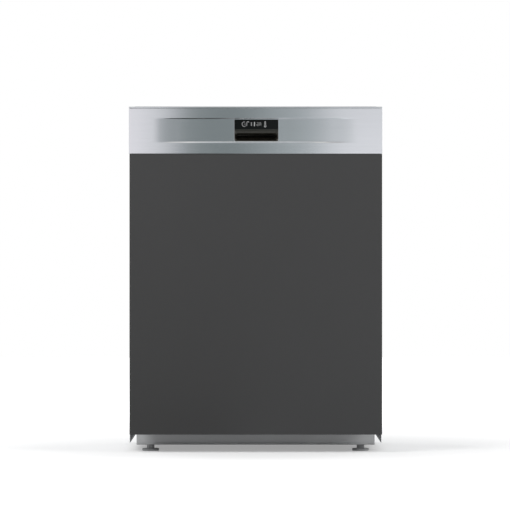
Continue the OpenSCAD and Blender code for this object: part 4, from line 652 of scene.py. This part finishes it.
BLACK_GRIP = plastic("grip_black", (0.009, 0.0082, 0.0062), 0.22, scale=1500, bump=0.04, specular=0.85)
BLACK_GRIP.node_tree.nodes["Principled BSDF"].inputs["Specular Tint"].default_value = (1.0, 0.97, 0.86, 1)
BLACK_GLASS = plastic("window_glass", (0.0026, 0.0031, 0.0028), 0.09, vary=0.03, bump=0.0, specular=0.28)

WIN_Y = F_LO.y + CH_D           # face of the steel round the window
GLASS_Z = WIN[3] - 0.02275      # foot of the glass
GLASS_GAP, GLASS_Y, GLASS_D = 0.0003, WIN_Y + 0.0001, 0.001
GRIP_WALL, GRIP_FLANGE, GRIP_GAP = 0.0012, 0.0028, 0.0004
FLANGE_Y = WIN_Y + 0.0013
LIP_H, LIP_D, LIP_TOP, MOUTH_Z = 0.0125, 0.0095, GLASS_Z - GRIP_GAP, 0.0050
LIP_STEPS = 8
POCKET_Y = F_HI.y + 0.0095


def loop(half, z0, z1, r0, r1, y, n=7, middle=WIN_X):
    """Rounded rectangle in XZ at depth y. r0 rounds its lower corners, r1 its upper ones."""
    pts = []
    for cx, cz, r, start in ((half - r0, z0 + r0, r0, -90), (half - r1, z1 - r1, r1, 0),
                             (-half + r1, z1 - r1, r1, 90), (-half + r0, z0 + r0, r0, 180)):
        for k in range(n):
            a = math.radians(start + 90 * k / (n - 1))
            pts.append((middle + cx + r * math.cos(a), y, cz + r * math.sin(a)))
    return pts


def recess_mesh():
    """The finger recess: flange, mouth, the rounded lip under the glass, sloping chin and pocket."""
    half = WIN_W / 2 - GRIP_GAP
    loops = [loop(WIN_W / 2 + GRIP_FLANGE, WIN[2] - GRIP_FLANGE, WIN[3] + GRIP_FLANGE, 0.004, 0.003,
                  FLANGE_Y),
             loop(half, WIN[2] + GRIP_GAP, LIP_TOP, 0.003, 0.0012, FLANGE_Y)]
    for k in range(LIP_STEPS + 1):
        t = k / LIP_STEPS
        loops.append(loop(half - 0.0042 * ease(t), WIN[2] + 0.0006 + MOUTH_Z * t,
                          LIP_TOP - LIP_H * (1 - (1 - t) ** 1.3), 0.003 + 0.004 * t, 0.0012 + 0.0035 * t,
                          WIN_Y + 0.0009 + LIP_D * t ** 1.9))
    # The pocket: (inset, height over the window's foot, drop under the lip's top, radius of the lower
    # corners, radius of the upper ones, distance before its back).
    for inset, up, down, r0, r1, short in ((0.0048, 0.0090, 0.0118, 0.005, 0.004, 0.008),
                                           (0.0054, 0.0135, 0.0098, 0.003, 0.003, 0.0015),
                                           (0.0070, 0.0145, 0.0105, 0.002, 0.002, 0.0)):
        loops.append(loop(WIN_W / 2 - inset, WIN[2] + up, LIP_TOP - down, r0, r1, POCKET_Y - short))
    bm = bmesh.new()
    loft(bm, loops)
    return bm


def pane_mesh():
    bm = bmesh.new()
    loft(bm, [loop(WIN_W / 2 - GLASS_GAP, GLASS_Z, WIN[3] - GLASS_GAP, 0.0003, 0.0014, y)
              for y in (GLASS_Y + GLASS_D, GLASS_Y)], cap_first=True)
    return bm


grip = piece("grip_shell", recess_mesh(), BLACK_GRIP, "door", angle=50)
thickened(grip, "wall", GRIP_WALL)
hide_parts("grip_moulding")

glass = piece("window_pane", pane_mesh(), BLACK_GLASS, "door", angle=40)
bevelled(glass, "edge", 0.00025, 2)
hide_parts("display_glass")


# The signs stand on the glass: a bowl with a cup hook, a pair of bars, a number and a thermometer.
SIGN_RAISE = 0.00006
SIGN_Z = (GLASS_Z + WIN[3]) / 2 + 0.0005
BOWL_X, BAR_X, BRIGHT_BAR_X, DIGIT_X, STEM_X = -0.0270, -0.0098, -0.0026, 0.0047, 0.0226
DIGIT_W, DIGIT_H, DIGIT_STEP = 0.0017, 0.0037, 0.0062
DIGITS = ("1111101", "1110111")
# A digit's seven strokes, each from (side, height) to (side, height).
SEGMENTS = (((-1, 1), (1, 1)), ((1, 1), (1, 0)), ((1, 0), (1, -1)), ((1, -1), (-1, -1)), ((-1, -1), (-1, 0)),
            ((-1, 0), (-1, 1)), ((-1, 0), (1, 0)))


def stroke(bm, pts, width):
    """Flat ribbon of one width along points (x, z), raised from the glass."""
    left, right = [], []
    n = len(pts)
    for i, (x, z) in enumerate(pts):
        a, b = pts[max(0, i - 1)], pts[min(n - 1, i + 1)]
        d = Vector((b[0] - a[0], b[1] - a[1])).normalized() * width / 2
        left.append((x - d.y, z + d.x))
        right.append((x + d.y, z - d.x))
    for i in range(n - 1):
        quad = [left[i], left[i + 1], right[i + 1], right[i]]
        front_face = [bm.verts.new((x, GLASS_Y - SIGN_RAISE, z)) for x, z in quad]
        rear_face = [bm.verts.new((x, GLASS_Y, z)) for x, z in quad]
        bm.faces.new(front_face)
        bm.faces.new(rear_face[::-1])
        ring_wall(bm, (rear_face, front_face))


def arc_points(cx, cz, rx, rz, a0, a1, n=12):
    """Points on an ellipse's arc from angle a0 to a1, in degrees."""
    return [(cx + rx * math.cos(math.radians(a0 + (a1 - a0) * k / n)),
             cz + rz * math.sin(math.radians(a0 + (a1 - a0) * k / n))) for k in range(n + 1)]


def dim_signs():
    """The bowl with its hook, a bar and the number."""
    bm = bmesh.new()
    stroke(bm, arc_points(BOWL_X, SIGN_Z, 0.0048, 0.0054, 62, 318), 0.0018)
    stroke(bm, [(BOWL_X - 0.0006, SIGN_Z + 0.0002), (BOWL_X + 0.0038, SIGN_Z + 0.0002)], 0.0013)
    stroke(bm, [(BOWL_X + 0.0060, SIGN_Z - 0.0044), (BOWL_X + 0.0064, SIGN_Z + 0.0024)]
           + arc_points(BOWL_X + 0.0090, SIGN_Z + 0.0030, 0.0026, 0.0030, 170, 25, 8), 0.0018)
    stroke(bm, [(BAR_X, SIGN_Z - 0.0042), (BAR_X, SIGN_Z + 0.0044)], 0.0026)
    for k, digit in enumerate(DIGITS):
        x = DIGIT_X + DIGIT_STEP * k
        for on, segment in zip(digit, SEGMENTS):
            if on == "1":
                stroke(bm, [(x + side * DIGIT_W, SIGN_Z + up * DIGIT_H) for side, up in segment], 0.0011)
    return bm


def bright_signs():
    """The other bar and the thermometer."""
    bm = bmesh.new()
    stroke(bm, [(BRIGHT_BAR_X, SIGN_Z - 0.0048), (BRIGHT_BAR_X, SIGN_Z + 0.0050)], 0.0024)
    stroke(bm, arc_points(STEM_X, SIGN_Z - 0.0047, 0.0019, 0.0019, 60, 480, 18), 0.0016)
    stroke(bm, [(STEM_X - 0.0011, SIGN_Z - 0.0030), (STEM_X - 0.0011, SIGN_Z + 0.0050)]
           + arc_points(STEM_X, SIGN_Z + 0.0050, 0.0011, 0.0013, 180, 0, 8)
           + [(STEM_X + 0.0011, SIGN_Z + 0.0050), (STEM_X + 0.0011, SIGN_Z - 0.0030)], 0.0012)
    return bm


def lit_print(name, value):
    """Grey print seen through dark glass, with a faint screen grain."""
    t = Tree(name)
    grain = t.noise(2500, detail=2)
    tone = t.mix(t.ramp(grain, 0.3, 0.7), (value * 0.85,) * 3, (value * 1.12,) * 3)
    p = t.shader(Base_Color=tone, Roughness=t.ramp(grain, 0.3, 0.7, 0.4, 0.5))
    p.inputs["Specular IOR Level"].default_value = 0.2
    return t.mat


piece("window_signs", dim_signs(), lit_print("sign_print", 0.22), "door", smooth=False)
piece("window_signs_bright", bright_signs(), lit_print("sign_print_bright", 0.38), "door",
      smooth=False)

CORNER, CORNER_TOP = 0.0034, 0.0006


def rim_mesh():
    """Fine rolled rim of the window's cut-out in the steel. It also rounds the cut-out's lower corners."""
    # (distance out from the cut-out, depth behind the steel's face, radius of the lower corners)
    profile = ((0.0, 0.0002, CORNER), (0.00005, 0.00004, CORNER), (0.00013, -0.00001, CORNER),
               (0.0005, -0.000015, 0.001), (0.00055, 0.0002, 0.001), (0.0003, 0.0003, CORNER))
    bm = bmesh.new()
    loft(bm, [loop(WIN_W / 2 + d, WIN[2] - d, WIN[3] + d, r, CORNER_TOP + d, WIN_Y + y)
              for d, y, r in profile], cap_last=False)
    return bm


piece("window_rim", rim_mesh(), FASCIA, "door")


# ---- Furniture panel ----

P_LO, P_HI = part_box("furniture_panel")
PANEL_X, PANEL_CORNER = 0.0005, 0.0012


def panel_mesh():
    bm = bmesh.new()
    loft(bm, [loop((P_HI.x - P_LO.x) / 2, P_LO.z, P_HI.z, PANEL_CORNER, PANEL_CORNER, y, 4, PANEL_X)
              for y in (P_HI.y, P_LO.y)], cap_first=True)
    return bm


panel = piece("front_panel", panel_mesh(), lacquer("panel_lacquer", (0.039, 0.0388, 0.0385), 0.56), "door",
              angle=40)
bevelled(panel, "edges", 0.0011, 4)
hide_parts("furniture_panel")


# ---- Pressed cabinet sheets ----

DIMPLE_R, DIMPLE_SLOPE, DIMPLE_D = 0.0062, 0.0034, 0.0016
BEAD_D, BEAD_W = 0.0022, 0.011
SHEET_PITCH, LEAST_STEP = 0.03, 0.0006
SCREW_R, SCREW_H, SCREW_STEPS = 0.0046, 0.0014, 24
SOCKET_R = 0.42                 # as a share of the head's radius
SHEET_LOOK = made["zinc_steel"]
SCREW_LOOK = metal("screw_zinc", (0.55, 0.555, 0.56), 0.28, scale=1500, vary=0.1)


class Press:
    """Depth of a sheet's beads and screw dimples at (u, v) of its own plane."""

    def __init__(self, beads, dimples):
        self.beads = beads
        self.dimples = dimples

    def depth(self, u, v):
        deep = 0.0
        for (u0, v0), (u1, v1) in self.beads:
            du, dv = u1 - u0, v1 - v0
            t = max(0.0, min(1.0, ((u - u0) * du + (v - v0) * dv) / (du * du + dv * dv)))
            off = math.hypot(u - u0 - t * du, v - v0 - t * dv)
            deep = max(deep, BEAD_D * (1 - ease(off / BEAD_W)))
        for cu, cv in self.dimples:
            off = math.hypot(u - cu, v - cv)
            deep = max(deep, DIMPLE_D * (1 - ease((off - DIMPLE_R) / DIMPLE_SLOPE)))
        return deep

    def lines(self, k, lo, hi, keep):
        """Grid lines along direction k, closer where the sheet is pressed, with those in keep."""
        n = max(2, round((hi - lo) / SHEET_PITCH))
        wanted = {lo + (hi - lo) * i / n for i in range(n + 1)}
        for ends in self.beads:
            for end in ends:
                wanted |= {end[k] + BEAD_W * i / 6 for i in range(-7, 8)}
        for dimple in self.dimples:
            wanted |= {dimple[k] + (DIMPLE_R + DIMPLE_SLOPE) * i / 5 for i in range(-6, 7)}
        kept = [lo]
        for w in sorted(wanted):
            clear = all(abs(c - w) > LEAST_STEP for c in (*keep, hi))
            if clear and lo < w < hi and w - kept[-1] > LEAST_STEP:
                kept.append(w)
        return sorted(kept + [hi, *keep])


def pressed_sheet(name, press, place, u_range, v_range, notch=(), flange=None):
    """Sheet over a grid of lines, pressed inwards. Its first corner may be cut out as far as the notch.

    A flange, of a width and from a height on, may be folded inwards along its first line.
    """
    us = press.lines(0, *u_range, notch[:1])
    vs = press.lines(1, *v_range, notch[1:])
    bm = bmesh.new()
    vert = {}

    def at(i, j):
        if (i, j) not in vert:
            vert[i, j] = bm.verts.new(place(us[i], vs[j], press.depth(us[i], vs[j])))
        return vert[i, j]

    for i in range(len(us) - 1):
        for j in range(len(vs) - 1):
            if not notch or us[i] >= notch[0] or vs[j] >= notch[1]:
                bm.faces.new((at(i, j), at(i + 1, j), at(i + 1, j + 1), at(i, j + 1)))
    if flange:
        width, start = flange
        rows = [(at(0, j), bm.verts.new(place(us[0], v, width))) for j, v in enumerate(vs) if v >= start]
        for (a, b), (c, d) in zip(rows, rows[1:]):
            bm.faces.new((a, b, d, c))
    bmesh.ops.recalc_face_normals(bm, faces=bm.faces)
    outward = place(0, 0, -1) - place(0, 0, 0)
    if sum(f.normal.dot(outward) * f.calc_area() for f in bm.faces) < 0:
        bmesh.ops.reverse_faces(bm, faces=bm.faces)
    obj = piece(name, bm, SHEET_LOOK, "cabinet", angle=30)
    bevelled(obj, "fold", 0.0012, 3, angle=60)
    thickened(obj, "sheet", SHEET)
    return obj


def screw(bm, place, r, h):
    """Pan head with a six-lobed socket, standing on place's XY plane."""
    turns = [2 * math.pi * k / SCREW_STEPS for k in range(SCREW_STEPS)]
    head = [[radius] * SCREW_STEPS for radius in (r, r, r * 0.9, r * 0.62)]
    socket = [[r * SOCKET_R * scale * (1 + 0.13 * math.cos(6 * a)) for a in turns] for scale in (1.0, 0.86)]
    heights = (0, h * 0.45, h * 0.8, h, h, h * 0.25)
    rings = [[bm.verts.new(place @ Vector((q * math.cos(a), q * math.sin(a), z)))
              for q, a in zip(ring, turns)] for ring, z in zip(head + socket, heights)]
    ring_wall(bm, rings)
    bm.faces.new(rings[-1])
    bm.faces.new(rings[0][::-1])


def screw_group(name, places, body, r=SCREW_R, h=SCREW_H):
    bm = bmesh.new()
    for p in places:
        screw(bm, p, r, h)
    return piece(name, bm, SCREW_LOOK, body, angle=40)


S_LO, S_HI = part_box("side_panels")
BEAD_Y = (S_LO.y + 0.062, S_HI.y - 0.072)       # the upright beads
BEAD_Z = (S_LO.z + 0.10, S_HI.z - 0.07)         # the level ones
NOTCH = (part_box("plinth_plate")[1].y - 0.002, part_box("base_tray")[1].z)
FLANGE = (0.012, NOTCH[1] + 0.030)
side_press = Press(
    [((y, S_LO.z + 0.16), (y, S_HI.z - 0.11)) for y in BEAD_Y]
    + [((S_LO.y + 0.13, z), (S_HI.y - 0.13, z)) for z in BEAD_Z],
    [(S_LO.y + 0.018, z) for z in (NOTCH[1] + 0.05, 0.40, 0.60, S_HI.z - 0.03)]
    + [(S_HI.y - 0.016, z) for z in (S_LO.z + 0.03, 0.22, 0.42, 0.62, S_HI.z - 0.03)])

cabinet_screws = []
for s, name in ((-1, "side_sheet_left"), (1, "side_sheet_right")):
    side = pressed_sheet(name, side_press, lambda y, z, d: Vector((s * (S_HI.x - d), y, z)),
                         (S_LO.y, S_HI.y), (S_LO.z, S_HI.z), NOTCH, FLANGE)
    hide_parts("side_panels")
    cabinet_screws += [turn_to((s, 0, 0), Vector((s * (S_HI.x - DIMPLE_D), y, z)))
                       for y, z in side_press.dimples]

T_LO, T_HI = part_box("top_cover")
top_press = Press(
    [((-0.21, y), (0.21, y)) for y in (T_LO.y + 0.11, T_HI.y - 0.11)],
    [(x, y) for x in (T_LO.x + 0.016, T_HI.x - 0.016) for y in (T_LO.y + 0.03, 0.05, T_HI.y - 0.03)]
    + [(x, T_HI.y - 0.016) for x in (-0.15, 0.0, 0.15)])
top = pressed_sheet("top_sheet", top_press, lambda x, y, d: Vector((x, y, T_HI.z - d)), (T_LO.x, T_HI.x),
                    (T_LO.y, T_HI.y))
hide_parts("top_cover")
cabinet_screws += [turn_to((0, 0, 1), Vector((x, y, T_HI.z - DIMPLE_D))) for x, y in top_press.dimples]
screw_group("cabinet_screws", cabinet_screws, "cabinet")


# ---- Screws of the door ----

LINER_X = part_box("door_liner")[1].x - 0.0055
LINER_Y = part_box("door_gasket")[0].y
LINER_SCREWS_Z = (0.17, 0.33, 0.49, 0.65, 0.79)
liner_screws = [turn_to((0, 1, 0), Vector((s * LINER_X, LINER_Y, z)))
                for s in (-1, 1) for z in LINER_SCREWS_Z]
screw_group("liner_screws", liner_screws, "door", r=0.0036, h=0.0012)
